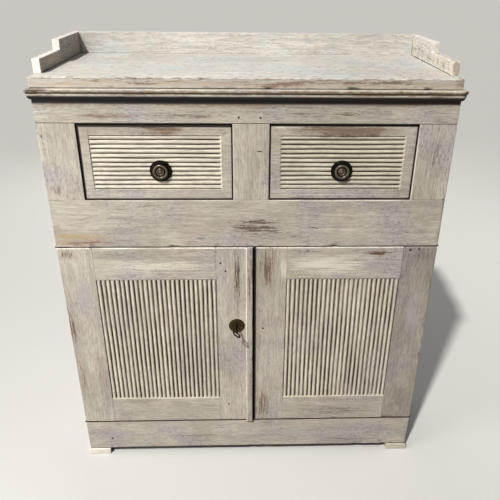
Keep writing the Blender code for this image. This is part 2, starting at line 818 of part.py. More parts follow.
def make_meeting_strip(swing):
    """A rounded strip on the left door's edge that covers the gap between the doors."""
    edge = DOOR_EDGES["left"]
    middle = edge - STRIP_W / 2
    outline = [(edge, -FIT), (edge, -FIT - STRIP_SHOULDER)]
    for index in range(1, STRIP_FACETS):
        angle = math.pi * index / STRIP_FACETS
        crown = (STRIP_T - STRIP_SHOULDER) * math.sin(angle)
        outline.append((middle + STRIP_W / 2 * math.cos(angle), -FIT - STRIP_SHOULDER - crown))
    outline += [(edge - STRIP_W, -FIT - STRIP_SHOULDER), (edge - STRIP_W, -FIT)]
    low = DOOR_BOTTOM - STRIP_DROP
    name = "meeting_strip"
    mesh = outline_mesh(name, outline, "Z", DOOR_TOP - low)
    add_part(name, mesh, (0.0, 0.0, (low + DOOR_TOP) / 2), swing, "paint")


def cut_keyhole(part, front, back):
    """A round hole for the shank over a slot for the bit, from front to back."""
    middle = (front + back) / 2
    radius = KEY_SHANK_R + KEY_CLEAR
    cut_rod(part, "keyhole", (KEY_X, middle, KEY_Z), radius, back - front + 2 * OVERCUT, "Y")
    cut_box(
        part,
        "key_slot",
        (KEY_X - KEYHOLE_SLOT_W / 2, front - OVERCUT, KEY_Z - BIT_R - KEY_CLEAR),
        (KEY_X + KEYHOLE_SLOT_W / 2, back + OVERCUT, KEY_Z),
    )


def make_escutcheon(swing):
    profile = [(out * ESCUTCHEON_R, up * ESCUTCHEON_T) for out, up in ESCUTCHEON_PROFILE]
    profile.append((0.0, 0.0))
    plate = turned("escutcheon", profile, (KEY_X, -FIT, KEY_Z), swing, "brass")
    cut_keyhole(plate, -2 * ESCUTCHEON_T, 0.0)
    cut_keyhole(PARTS.objects["left_door_meeting_stile"], 0.0, DOOR_T)


def make_lock(swing):
    """A shallow iron case on the back of the left door, with its bolt drawn in."""
    right = DOOR_EDGES["left"] - LOCK_INSET
    left = right - LOCK_W
    front = DOOR_T + FIT
    low = KEY_Z - LOCK_BELOW
    high = KEY_Z + LOCK_ABOVE
    case = board("lock_case", (left, front, low), (right, LOCK_BACK, high), swing, "iron")
    cut_box(
        case,
        "hollow",
        (left + LOCK_WALL, front - OVERCUT, low + LOCK_WALL),
        (right - LOCK_WALL, LOCK_BACK - LOCK_WALL, high - LOCK_WALL),
    )
    cut_rod(case, "key_pin_hole", (KEY_X, LOCK_BACK, KEY_Z), KEY_SHANK_R + KEY_CLEAR, 4 * LOCK_WALL, "Y")

    tip = DOOR_EDGES["left"] - BOLT_INSET
    bolt_front = (front + LOCK_BACK - LOCK_WALL - BOLT_T) / 2
    bolt_low = KEY_Z + BIT_R + BOLT_OVER_BIT
    bolt_slide = add_empty("lock_bolt_slide", (tip, bolt_front, bolt_low), swing)
    bolt_min = Vector((tip - BOLT_L, bolt_front, bolt_low))
    bolt_max = Vector((tip, bolt_front + BOLT_T, bolt_low + BOLT_H))
    board("lock_bolt", bolt_min, bolt_max, bolt_slide, "iron")
    cut_box(
        case,
        "bolt_slot",
        (right - LOCK_WALL - OVERCUT, bolt_min.y - FIT, bolt_min.z - FIT),
        (right + OVERCUT, bolt_max.y + FIT, bolt_max.z + FIT),
    )


def bow_mesh():
    """The key's oval ring, in the plane of its own X and Y."""
    curve = bpy.data.curves.new("key_bow", "CURVE")
    curve.dimensions = "3D"
    curve.bevel_depth = BOW_WIRE_R
    curve.bevel_resolution = 2
    spline = curve.splines.new("POLY")
    spline.points.add(BOW_POINTS - 1)
    for index, point in enumerate(spline.points):
        angle = 2 * math.pi * index / BOW_POINTS
        across = (BOW_W / 2 - BOW_WIRE_R) * math.cos(angle)
        along = (BOW_L / 2 - BOW_WIRE_R) * math.sin(angle)
        point.co = (across, along, 0.0, 1.0)
    spline.use_cyclic_u = True
    return mesh_from(mesh_of_curve("key_bow", curve), "key_bow")


def make_key(swing):
    """Shank, ring and bit in one piece, turned a little in the lock as it hangs there."""
    bow_y = BOW_L / 2 - KEY_REACH
    shank_front = bow_y + BOW_L / 2 - BOW_WIRE_R
    shank_back = LOCK_BACK + KEY_PIN_PAST
    middle = Vector((KEY_X, (shank_front + shank_back) / 2, KEY_Z))
    turn = add_empty("key_turn_axis", middle, swing)
    shank = rod_mesh("key", KEY_SHANK_R, shank_back - shank_front, "Y")
    key = add_part("key", shank, middle, turn, "iron")
    bow = add_cutter("key_bow", bow_mesh(), (KEY_X, bow_y, KEY_Z), turn)
    bit_y = (DOOR_T + FIT + LOCK_BACK - LOCK_WALL) / 2
    bit_mesh = box_mesh("key_bit", (BIT_R, BIT_L, BIT_T))
    bit_mesh.transform(Matrix.Translation((BIT_R / 2, 0.0, 0.0)))
    bit = add_cutter("key_bit", bit_mesh, (KEY_X, bit_y, KEY_Z), turn)
    for piece in (key, bow, bit):
        piece.rotation_euler.y = KEY_TILT
    combine(key, bow, "UNION")
    combine(key, bit, "UNION")


def make_cabinet():
    make_frame()
    make_carcass()
    make_feet()
    make_top()
    make_cornice()
    make_runners()
    make_drawer("left", LEFT_KNOB_SHIFT)
    make_drawer("right", 0.0)
    swings = {side: make_door(side) for side in SIGNS}
    for side in SIGNS:
        make_pivots(side)
    make_meeting_strip(swings["left"])
    make_escutcheon(swings["left"])
    make_lock(swings["left"])
    make_key(swings["left"])


make_cabinet()
bpy.context.view_layer.update()
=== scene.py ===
"""Looks of the painted buffet cabinet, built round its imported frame.

Metres, in the frame's axes: X to the right, Y to the back, Z up. Every node is replaced, in its own
place, by a piece with worn and rounded edges. The paint is rubbed through where the photograph shows it.
"""

import json
import math

import bmesh
import bpy
from mathutils import Matrix, Vector, noise


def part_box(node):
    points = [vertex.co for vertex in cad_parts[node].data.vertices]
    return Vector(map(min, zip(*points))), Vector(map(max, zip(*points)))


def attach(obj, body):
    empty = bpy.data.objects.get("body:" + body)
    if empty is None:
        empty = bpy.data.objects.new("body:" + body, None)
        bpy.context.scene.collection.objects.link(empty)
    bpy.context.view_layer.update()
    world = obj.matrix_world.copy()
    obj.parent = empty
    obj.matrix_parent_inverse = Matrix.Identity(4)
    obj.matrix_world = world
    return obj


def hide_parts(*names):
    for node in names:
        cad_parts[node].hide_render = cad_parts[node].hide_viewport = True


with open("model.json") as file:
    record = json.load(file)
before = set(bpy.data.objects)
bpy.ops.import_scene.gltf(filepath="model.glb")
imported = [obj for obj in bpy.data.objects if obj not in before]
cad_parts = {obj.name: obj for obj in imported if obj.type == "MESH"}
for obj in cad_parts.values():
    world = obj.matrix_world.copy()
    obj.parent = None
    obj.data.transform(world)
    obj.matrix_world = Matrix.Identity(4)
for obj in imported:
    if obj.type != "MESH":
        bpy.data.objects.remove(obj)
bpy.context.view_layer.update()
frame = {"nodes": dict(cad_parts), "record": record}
BODY_OF = {
    node: body for body, nodes in frame["record"]["behaviour"]["bodies"].items() for node in nodes
}
SIDES = {"left": -1, "right": 1}
DRAWER_SEEDS = {"left": 1.0, "right": 21.0}
DOOR_SEEDS = {"left": 41.0, "right": 61.0}


def edge_of(node, axis, end):
    """One coordinate of a node's box: end 0 is the low corner and 1 the high one."""
    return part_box(node)[end]["XYZ".index(axis)]


# Planes shared by several nodes
FRONT = edge_of("top_rail", "Y", 0)
BACK = edge_of("top_board", "Y", 1)
HALF_W = edge_of("top_rail", "X", 1)
RAIL_TOP = edge_of("drawer_rail", "Z", 1)
DRAWERS_TOP = edge_of("top_rail", "Z", 0)
SIDE_INNER = edge_of("right_side", "X", 0)
OPENING_X = edge_of("right_stile", "X", 0)
JOINT_GAP = 0.0003

# Camera, fitted to the corners in the photograph
IMAGE_PX = 500
FOCAL_PX = 562.1
SENSOR = 36.0
CAMERA_AT = Vector((-0.0075, FRONT - 1.1383, 1.1847))
CAMERA_PITCH = math.radians(26.53)
CAMERA_ROLL = math.radians(0.73)
CAMERA_YAW = math.radians(-2.19)
CAMERA_SHIFT_PX = -15.0

# Light, with its direction from the shadows of the key and the cornice
LIGHT_FROM = (-0.60, -1.0, 1.5)
SUN_POWER = 3.5
SUN_ANGLE = math.radians(2.8)
LAMP_AT = (-1.0, FRONT - 0.55, 1.1)
LAMP_SIZE = (0.6, 1.7)
LAMP_AIM = (0.0, FRONT, 0.6)
LAMP_POWER = 11.0
REAR_LAMPS = {"back_light": ((-0.35, 2.4, 1.4), 16.0), "side_light": ((2.3, 0.6, 1.0), 10.0)}
REAR_AIM = (0.0, 0.0, 0.5)
REAR_SIZE = (1.2, 1.2)
WARM_WHITE = (1.0, 0.985, 0.96)
WORLD_POWER = 0.12
FLOOR_SIZE = 40.0

# Edges of the boards: free ones are worn, and those at a joint are crisp
EDGE_R = 0.0016
JOINT_R = 0.0004
END_R = 0.0012
JOINT_WEIGHT = 0.2
SUPPORT = 0.006
ARC_SHARE = 0.3
HOLD_SHARE = 0.45
END_HOLD_SHARE = 0.4
SECTION = 0.011
ARC_STEPS = 3
SOFT_TURN = math.radians(40)
FACES_ALONG = 0.9
CHIP_SCALE = 42.0
CHIP_START = 0.34
CHIP_RANGE = 0.45
CHIP_DEPTH = 0.0017
SAG = 0.00025
SAG_SCALE = 26.0
TOP_R = 0.0030
GALLERY_R = 0.0022
IRON_R = 0.0004
INNER_WEAR = 0.5

# Reeds and the fronts of the drawers
REED_DEPTH = 0.0042
REED_DROP = 0.0006
REED_HALF_ARC = math.radians(76)
REED_SAMPLES = 8
REED_WOBBLE = 0.0009
REED_SWELL = 0.0004
REED_UNEVEN = 0.14
REED_END = 0.0060
REED_END_STEPS = 5
DOOR_REED_PITCH = 0.0108
DRAWER_REED_PITCH = 0.0094
DRAWER_BORDER = 0.022
DRAWER_LAP = 0.008
FIELD_WALL = 0.00025
RIM_CHIP_DEPTH = 0.6 * CHIP_DEPTH
RELIEF_SHARP = math.radians(48)
# Where the dark in the reeds' valleys, painted shade with some dirt, starts and where it is full, as shares
# of their depth
SHADE_AND_DIRT_DEPTHS = (0.02, 0.48)
DRAWER_SHADE_AND_DIRT_DEPTHS = (0.05, 0.7)

# How far a cut reaches past the surface
OVERCUT = 0.01

# Outlines of the cornice, the strip, the back and the gallery
CORNICE_FILLET = 0.007
CORNICE_QUIRK = 0.002
CORNICE_FOOT = 0.0015
CORNICE_SOFT = 0.0012
OVOLO_STEPS = 8
STRIP_R = 0.0026
BACK_REBATE = 0.010
BACK_T = 0.012
GALLERY_STEP_RUN = 0.142
GALLERY_LOW_H = 0.0275

# Door pivots
PIVOT_IN = 0.008
PIVOT_BACK = 0.008
PIVOT_ARC_STEPS = 8

# Hardware
TURN_STEPS = 64
TURN_SHARP = math.radians(50)
ROD_STEPS = 32
STEM_R = 0.0025
STEM_CLEAR = 0.0003
BEAD_AT = 0.92
BEAD_R = 0.055
BEAD_COUNT = 46
BEAD_UP = 0.48
KNOB_SEAT = 0.66
KNOB_RUBBED = (0.42, 0.06)
ROSETTE = (
    (0.20, 0.66), (0.60, 0.60), (0.66, 0.64), (0.70, 0.80), (0.74, 0.86), (0.78, 0.78),
    (0.82, 0.56), (0.86, 0.48), (0.97, 0.48), (1.00, 0.38), (1.00, 0.00),
)
KNOB = (
    (0.00, 1.00), (0.09, 1.00), (0.17, 0.97), (0.22, 0.90), (0.25, 0.78), (0.28, 0.74),
    (0.31, 0.78), (0.35, 0.88), (0.39, 0.92), (0.43, 0.90), (0.48, 0.80), (0.52, 0.68),
    (0.56, 0.62), (0.60, 0.64), (0.64, 0.74), (0.69, 0.84), (0.75, 0.90), (0.81, 0.92),
    (0.87, 0.89), (0.92, 0.83), (0.97, 0.74), (1.00, 0.66), (0.99, 0.60), (0.95, 0.54),
    (0.80, 0.49), (0.60, 0.43), (0.46, 0.39), (0.46, 0.16), (0.53, 0.12), (0.60, 0.08), (0.60, 0.00),
)
ESCUTCHEON = (
    (0.00, 1.00), (0.54, 1.00), (0.60, 1.08), (0.65, 1.32), (0.70, 1.40), (0.77, 1.40),
    (0.83, 1.28), (0.88, 1.00), (0.95, 0.80), (1.00, 0.50), (1.00, 0.00),
)
KEY_SHANK_R = 0.0026
KEY_TILT = math.radians(40)
BOW_W = 0.024
BOW_L = 0.018
BOW_WIRE_R = 0.002
BOW_STEPS = 64
BOW_SIDES = 16
BIT_R = 0.009
BIT_L = 0.007
BIT_T = 0.0024
BIT_FROM_BACK = 0.0115
KEYHOLE_SLOT_W = 0.0036
KEYHOLE_CLEAR = 0.0004
KEY_VOXEL = 0.00035


def srgb(*values):
    """A colour given in 0 to 255 screen values, as linear light."""
    shares = [value / 255 for value in values]
    return tuple(s / 12.92 if s <= 0.04045 else ((s + 0.055) / 1.055) ** 2.4 for s in shares) + (1.0,)


# Colours
BODY_TONES = (srgb(201, 193, 180), srgb(183, 177, 163), srgb(194, 181, 171), srgb(182, 176, 176))
# Darker paint: painted shade on the left gallery's inner face, and on the right hinge stile partly greyer
# paint and partly painted shade
DULL_AND_SHADED_TONES = (srgb(174, 166, 154), srgb(156, 150, 139), srgb(166, 155, 146), srgb(157, 151, 152))
TOP_TONES = (srgb(216, 211, 202), srgb(203, 199, 190), srgb(205, 211, 210), srgb(209, 201, 194))
# Lighter than the top's paint: painted light on the gallery sides, where light falls on the right one's
# inner face
GALLERY_LIT_TONES = (srgb(242, 233, 222), srgb(230, 222, 211), srgb(228, 228, 224), srgb(236, 225, 215))
REED_TONES = (srgb(217, 209, 191), srgb(202, 195, 177), srgb(208, 198, 182), srgb(200, 193, 184))
PANEL_TONES = (srgb(230, 222, 204), srgb(215, 208, 190), srgb(222, 210, 194), srgb(212, 205, 196))
# Lighter than the reed paint, for the left drawer: partly its own tone and partly painted light
DRAWER_TONES = (srgb(234, 227, 208), srgb(220, 212, 194), srgb(224, 214, 197), srgb(214, 207, 196))
FOOT_TONES = (srgb(250, 244, 232), srgb(240, 232, 218), srgb(244, 236, 223), srgb(234, 228, 220))
WOOD = srgb(130, 108, 92)
WOOD_DARK = srgb(82, 66, 54)
VEIL = srgb(162, 146, 134)
SMUDGE = srgb(124, 113, 105)
FLECK = srgb(96, 84, 74)
# Near black: painted shadow in gaps, creases and under the cornice and plinth, with some grime
SHADE_AND_GRIME = srgb(24, 17, 10)
# The dark of the reeds' valleys: painted shade with some dirt
VALLEY_SHADE_AND_DIRT = srgb(58, 45, 32)
NAIL = srgb(44, 37, 32)
# Painted highlight for lit edges
RIM = srgb(244, 238, 224)
TINTS = {
    "yellow": srgb(174, 155, 120),
    "lilac": srgb(172, 166, 168),
    "blue": srgb(94, 97, 110),
    "ivory": srgb(228, 222, 206),
    "mauve": srgb(138, 118, 110),
    "umber": srgb(122, 103, 82),
    "sand": srgb(184, 171, 154),
    "rust": srgb(150, 106, 74),
    "grey": srgb(122, 113, 106),
}
FLOOR_SEEN = srgb(198, 196, 192)
WORLD_SEEN = srgb(198, 196, 193)
FLOOR_BOUNCE = srgb(98, 92, 84)
PAINT_GLOSS = 0.28
PINE = (srgb(186, 146, 100), srgb(150, 108, 68), srgb(112, 76, 46))
BACK_PINE = (srgb(168, 138, 104), srgb(140, 110, 78), srgb(104, 78, 54))
# Pine darkened by age and as painted shade, for bare faces in gaps and inside the case
OLD_AND_SHADED_PINE = (srgb(74, 57, 43), srgb(56, 42, 31), srgb(38, 28, 21))
# Pine for the edges of the drawer fronts: darker with dirt, and as painted shade in the gap round the closed
# drawer
EDGE_PINE = (srgb(112, 90, 67), srgb(92, 72, 52), srgb(70, 53, 38))
PLATE_BRONZE = (srgb(32, 25, 17), srgb(17, 13, 8), srgb(62, 51, 35))
KNOB_BRONZE = (srgb(24, 18, 12), srgb(12, 9, 6), srgb(106, 95, 77))
OLIVE_BRASS = (srgb(52, 44, 24), srgb(28, 23, 13), srgb(70, 61, 36))
IRON = (srgb(48, 43, 38), srgb(28, 25, 22), srgb(78, 61, 47))

# Marks with a sharp outline, and tints that show only where the paint is thin
CRISP_MARKS = ("nail", "shade_and_grime", "rim")
CRISP_EDGE = 0.35
BROAD_EDGE = 0.85
WORN_TINTS = ("mauve", "rust", "grey")
WORN_RUB = (0.13, 0.57, 0.68)
EVEN_RUB = (0.22, 0.50, 0.73)

# Marks on the painted front: kind, then X, Z, half width and half height in mm, and strength
# The near-black marks are mostly painted shadow in gaps and creases and under the cornice and plinth, with
# some grime; the rim marks are painted highlights on lit edges
MARKS = {
    "top_board": (
        ("sand", 0, 982, 2000, 13, 1.0), ("umber", 0, 990.5, 2000, 3.4, 0.7),
        ("dark", -240, 985, 190, 12, 0.85), ("mauve", 50, 983, 190, 11, 1.1),
        ("dark", 270, 985, 210, 12, 0.85), ("umber", 428, 986, 20, 12, 0.8),
        # Painted shade in the crease between the top board and the cornice
        ("shade_and_grime", -130, 972.2, 200, 1.8, 0.7), ("shade_and_grime", 300, 972.2, 120, 1.6, 0.6),
    ),
    "gallery_right": (
        ("sand", 422, 1008, 9.4, 19, 2.4), ("sand", 422, 1033.5, 8.6, 10.5, 0.7),
    ),
    "cornice_front": (
        # Painted shade on the lower part of the cornice and in its quirk
        ("shade_and_grime", 0, 950.5, 2000, 8.8, 1.0), ("shade_and_grime", 0, 964.2, 2000, 1, 0.8),
        ("umber", 0, 965.5, 2000, 7.5, 0.9), ("umber", -425, 963, 34, 12, 1.2),
        ("dark", -425, 966, 40, 16, 1.8), ("umber", 330, 963, 140, 10, 1.0),
        ("dark", 360, 964, 100, 12, 1.0), ("umber", 436, 962, 14, 16, 1.3),
        # The near-black mark at the right end is its dark end grain; the rim marks are painted highlights on
        # the ovolo and on the fillet's top edge
        ("shade_and_grime", 437.5, 962, 6, 16, 0.6), ("rim", 0, 960, 2000, 1.6, 0.5),
        ("rim", 0, 971.5, 2000, 1, 0.3),
    ),
    "top_rail": (
        # The umber band and the near-black band at the top are the cornice's painted shadow
        ("umber", 0, 950, 2000, 22, 0.9), ("shade_and_grime", 0, 950.7, 2000, 9.6, 1.0),
        ("mauve", -270, 918, 110, 10, 0.9), ("bare", -290, 920, 80, 5, 0.9),
        ("dark", -180, 917, 40, 6, 0.9), ("mauve", -84, 919, 50, 8, 0.9),
        ("nail", -20.4, 915.5, 2.4, 2.4, 1.0), ("dark", 46, 922, 26, 4, 0.8),
        ("dark", 204, 922, 60, 10, 1.0), ("lilac", 150, 944, 180, 12, 0.6),
        ("nail", 23.9, 915, 2.4, 2.4, 1.0), ("grey", 120, 926, 120, 22, 0.8),
        ("grey", 250, 930, 70, 16, 0.9), ("grey", -120, 922, 130, 14, 0.8),
        # Painted shade in the gap above the drawers
        ("shade_and_grime", 0, 903, 2000, 1.8, 0.8),
    ),
    "left_drawer_front": (
        # The near-black marks along the top and left edges and at the field's left wall are painted shadow
        ("shade_and_grime", -193, 900, 2000, 5.6, 1.0), ("shade_and_grime", -350, 890, 4.6, 240, 1.0),
        ("shade_and_grime", -328.2, 820, 1.2, 75, 0.6), ("mauve", -225, 890, 110, 13, 1.1),
        ("bare", -215, 890, 90, 14, 1.3), ("umber", -175, 888, 60, 12, 1.3),
        ("bare", -52, 886, 16, 10, 1.1),
    ),
    "right_drawer_front": (
        # The near-black marks along the top and left edges are painted shadow of the gaps
        ("shade_and_grime", 197, 900, 2000, 3, 1.0), ("shade_and_grime", 44.1, 820, 2, 2000, 0.85),
        ("umber", 205, 888, 125, 15, 1.7), ("mauve", 197, 888, 140, 20, 1.3),
        ("bare", 190, 888, 130, 20, 1.7), ("dark", 200, 890, 120, 18, 2.1),
        ("ivory", 65, 896, 20, 4, 0.8), ("bare", 55.5, 781, 8, 24, 0.7),
    ),
    "drawer_rail": (
        ("dark", 14, 675, 90, 30, 1.5), ("bare", 14, 672, 60, 22, 0.8), ("lilac", 18, 677, 80, 20, 0.7),
        ("yellow", -385, 645, 110, 30, 0.85), ("grey", 60, 648, 130, 20, 0.8),
        ("grey", -250, 722, 120, 14, 0.7), ("grey", 170, 722, 110, 14, 0.7),
        ("bare", -350, 636, 85, 10, 1.7), ("rust", -335, 635, 80, 8, 1.2),
        ("blue", -108, 646, 18, 6, 0.6), ("nail", 143, 671, 6, 1.1, 0.9),
        ("nail", 151, 669.5, 4.5, 1, 0.9), ("bare", 428, 650, 8, 26, 1.0),
        # The rim marks are painted highlights along the rail's top edge under the drawers
        ("rim", -193, 736.8, 176, 2.6, 1.3), ("rim", 197, 736.8, 172, 3, 1.9),
    ),
    "centre_stile": (
        # The rim mark is a painted highlight on the edge of the drawer opening
        ("nail", 22, 845, 6.5, 1.4, 0.9), ("rim", -33.3, 820, 2, 2000, 1.0),
    ),
    "right_stile": (
        # The rim mark is a painted highlight on the edge of the drawer opening
        ("rim", 352.2, 820, 2.2, 2000, 1.7), ("grey", 392, 835, 36, 70, 0.8),
    ),
    "left_stile": (
        ("nail", -421, 876, 1.8, 4.4, 0.7), ("mauve", -405, 760, 14, 20, 0.9),
        ("grey", -372, 775, 18, 50, 0.7),
    ),
    "left_door_top_rail": (
        # The rim mark is a painted highlight on the door's top edge, and the near-black line at the reeds'
        # top end is painted shade
        ("rim", 0, 621.2, 2000, 2, 1.0), ("ivory", -200, 575, 160, 30, 0.7),
        ("mauve", -300, 603, 70, 14, 0.9), ("bare", -310, 604, 45, 12, 0.9),
        ("mauve", -194, 611, 90, 6, 0.8), ("shade_and_grime", -214, 540, 2000, 1.3, 0.55),
    ),
    "left_door_hinge_stile": (
        # The rim mark is a painted highlight on the door's top edge
        ("rim", 0, 621.2, 2000, 1.8, 0.95), ("bare", -405, 606, 40, 18, 0.9),
        ("dark", -408, 608, 34, 14, 0.9), ("mauve", -412, 606, 20, 12, 1.1),
        ("mauve", -424, 430, 18, 160, 0.9), ("bare", -419, 412, 20, 90, 1.15),
        ("dark", -418, 410, 22, 90, 1.1), ("bare", -422, 300, 16, 120, 1.1),
        ("dark", -420, 300, 18, 120, 1.0), ("lilac", -385, 500, 30, 80, 0.7),
    ),
    "left_door_meeting_stile": (
        # The rim mark is a painted highlight on the door's top edge
        ("rim", 0, 621.2, 2000, 2, 1.0), ("dark", -27.5, 545, 13, 110, 1.3),
        ("bare", -27.5, 545, 12, 100, 0.9), ("lilac", -45, 490, 12, 60, 0.5),
        ("nail", -65.5, 583, 2.6, 2.8, 1.0), ("nail", -54.1, 561.6, 2.6, 2.8, 0.9),
        ("nail", -53.6, 166.5, 2.8, 3, 0.9),
    ),
    "left_door_bottom_rail": (
        ("drip", -222, 148, 32, 34, 0.8),
    ),
    "right_door_bottom_rail": (
        ("grey", 225, 140, 150, 28, 0.9),
    ),
    "right_door_meeting_stile": (
        # The rim mark is a painted highlight on the door's top edge
        ("rim", 0, 621.2, 2000, 1.8, 0.95), ("rust", 42, 570, 30, 90, 0.7),
        ("bare", 38, 570, 32, 100, 1.15), ("dark", 36, 570, 30, 90, 1.3),
        ("rust", 24, 520, 13, 30, 0.9), ("mauve", 22, 480, 12, 80, 1.2),
        ("bare", 21, 380, 11, 130, 1.0), ("bare", 36, 165, 28, 75, 1.05),
        ("mauve", 36, 170, 26, 70, 0.7), ("dark", 36, 165, 24, 65, 1.1),
        ("ivory", 78, 570, 22, 50, 0.8), ("nail", 33.6, 402.9, 2.6, 2.8, 1.0),
        # Painted shadow of the meeting strip and the gap, on the stile's left edge
        ("shade_and_grime", 12.6, 365, 4.2, 2000, 0.96),
    ),
    "right_door_top_rail": (
        # The rim mark is a painted highlight on the door's top edge, and the near-black line at the reeds'
        # top end is painted shade
        ("rim", 0, 621.2, 2000, 1.8, 0.95), ("dark", 300, 608, 70, 14, 1.1),
        ("dark", 120, 613, 90, 6, 0.8), ("ivory", 190, 575, 150, 40, 0.9),
        ("lilac", 283, 577, 36, 16, 0.9), ("rust", 305, 607, 60, 13, 0.8),
        ("shade_and_grime", 220, 540, 2000, 1.3, 0.55), ("yellow", 100, 552, 24, 20, 0.4),
    ),
    "right_door_hinge_stile": (
        ("bare", 358, 543, 9, 14, 0.95), ("dark", 395, 616, 34, 6, 1.0),
        ("nail", 369, 614, 4, 3.4, 0.9), ("lilac", 395, 430, 30, 110, 0.7),
        ("grey", 400, 600, 40, 24, 0.9), ("grey", 385, 200, 30, 80, 0.7),
    ),
    "meeting_strip": (
        ("mauve", 3, 560, 8, 180, 1.1), ("bare", 3, 560, 7, 110, 0.9), ("mauve", 3, 250, 8, 180, 0.7),
        # Painted shadow on the strip's right side, and a painted highlight on its left arris
        ("shade_and_grime", 9.1, 365, 2.2, 2000, 0.9), ("rim", -6.2, 365, 1.1, 2000, 1.0),
    ),
    "plinth_rail": (
        ("nail", -367.2, 52, 2.8, 3, 1.0), ("blue", 357, 28.5, 11, 7, 0.9),
        ("lilac", -353, 67, 66, 24, 0.8), ("lilac", 180, 60, 150, 20, 0.6),
        ("mauve", 45, 102, 30, 6, 0.8), ("grey", -120, 50, 160, 26, 0.7),
        # The near-black lines are painted shade in the seam under the doors and along the bottom edge over
        # the floor
        ("grey", 270, 35, 130, 18, 0.8), ("shade_and_grime", 0, 110, 2000, 1.2, 0.7),
        ("shade_and_grime", 0, 17.2, 600, 4.4, 0.95),
    ),
}


def stretch(share):
    """For each way the grain may run, how fast a pattern changes on each axis."""
    return {"X": (share, 1.0, 1.0), "Y": (1.0, share, 1.0), "Z": (1.0, 1.0, share)}


GRAIN = stretch(0.05)
DASH = stretch(0.11)
SMEAR = stretch(0.28)


class Shader:
    """A material under construction. Its methods add a node and return the node's output."""

    def __init__(self, name):
        self.material = bpy.data.materials.new(name)
        self.material.use_nodes = True
        self.nodes = self.material.node_tree.nodes
        self.links = self.material.node_tree.links
        self.surface = self.nodes["Principled BSDF"]
        self.place = self.nodes.new("ShaderNodeTexCoord").outputs["Object"]

    def put(self, socket, value):
        if isinstance(value, bpy.types.NodeSocket):
            self.links.new(value, socket)
        else:
            socket.default_value = value

    def node(self, kind, output, inputs, **settings):
        """Adds a node with values or links in its inputs, and returns one of its outputs."""
        made = self.nodes.new(f"ShaderNode{kind}")
        for key, value in settings.items():
            setattr(made, key, value)
        for socket, value in inputs.items():
            self.put(made.inputs[socket], value)
        return made.outputs[output]

    def math(self, operation, first, second=0.0):
        return self.node("Math", 0, {0: first, 1: second}, operation=operation)

    def chain(self, operation, total, *others):
        for value in others:
            total = self.math(operation, total, value)
        return total

    def add(self, *values):
        return self.chain("ADD", *values)

    def times(self, *values):
        return self.chain("MULTIPLY", *values)

    def vector(self, operation, first, second=(0.0, 0.0, 0.0)):
        output = "Value" if operation == "LENGTH" else "Vector"
        inputs = {0: first, "Scale" if operation == "SCALE" else 1: second}
        return self.node("VectorMath", output, inputs, operation=operation)

    def axis(self, place, index):
        return self.node("SeparateXYZ", index, {0: place})

    def noise(self, place, scale, detail, roughness, output="Fac"):
        inputs = {"Vector": place, "Scale": scale, "Detail": detail, "Roughness": roughness}
        return self.node("TexNoise", output, inputs)

    def step(self, value, low, high, start=0.0, end=1.0):
        """A smooth rise from start to end as value goes from low to high."""
        inputs = {"Value": value, "From Min": low, "From Max": high, "To Min": start, "To Max": end}
        return self.node("MapRange", "Result", inputs, interpolation_type="SMOOTHSTEP")

    def mix(self, share, first, second):
        return self.node("Mix", 2, {0: share, 6: first, 7: second}, data_type="RGBA")

    def scaled(self, color, share):
        """The colour made lighter or darker by a number."""
        return self.vector("SCALE", color, share)

    def attribute(self, name):
        return self.node("Attribute", "Fac", {}, attribute_name=name)

    def spot(self, place, x, z, half_w, half_h, soft):
        """1 at a place on the front, falling to 0 at an ellipse round it."""
        offset = self.vector("SUBTRACT", place, (x, 0.0, z))
        scaled = self.vector("MULTIPLY", offset, (1 / half_w, 0.0, 1 / half_h))
        return self.step(self.vector("LENGTH", scaled), 1.0 - soft, 1.15, 1.0, 0.0)

    def done(self, color, roughness, height, strength, distance):
        """The material, with the surface's colour, roughness and bumps."""
        bumps = {"Strength": strength, "Distance": distance, "Height": height}
        self.put(self.surface.inputs["Base Color"], color)
        self.put(self.surface.inputs["Roughness"], roughness)
        self.put(self.surface.inputs["Normal"], self.node("Bump", "Normal", bumps))
        return self.material


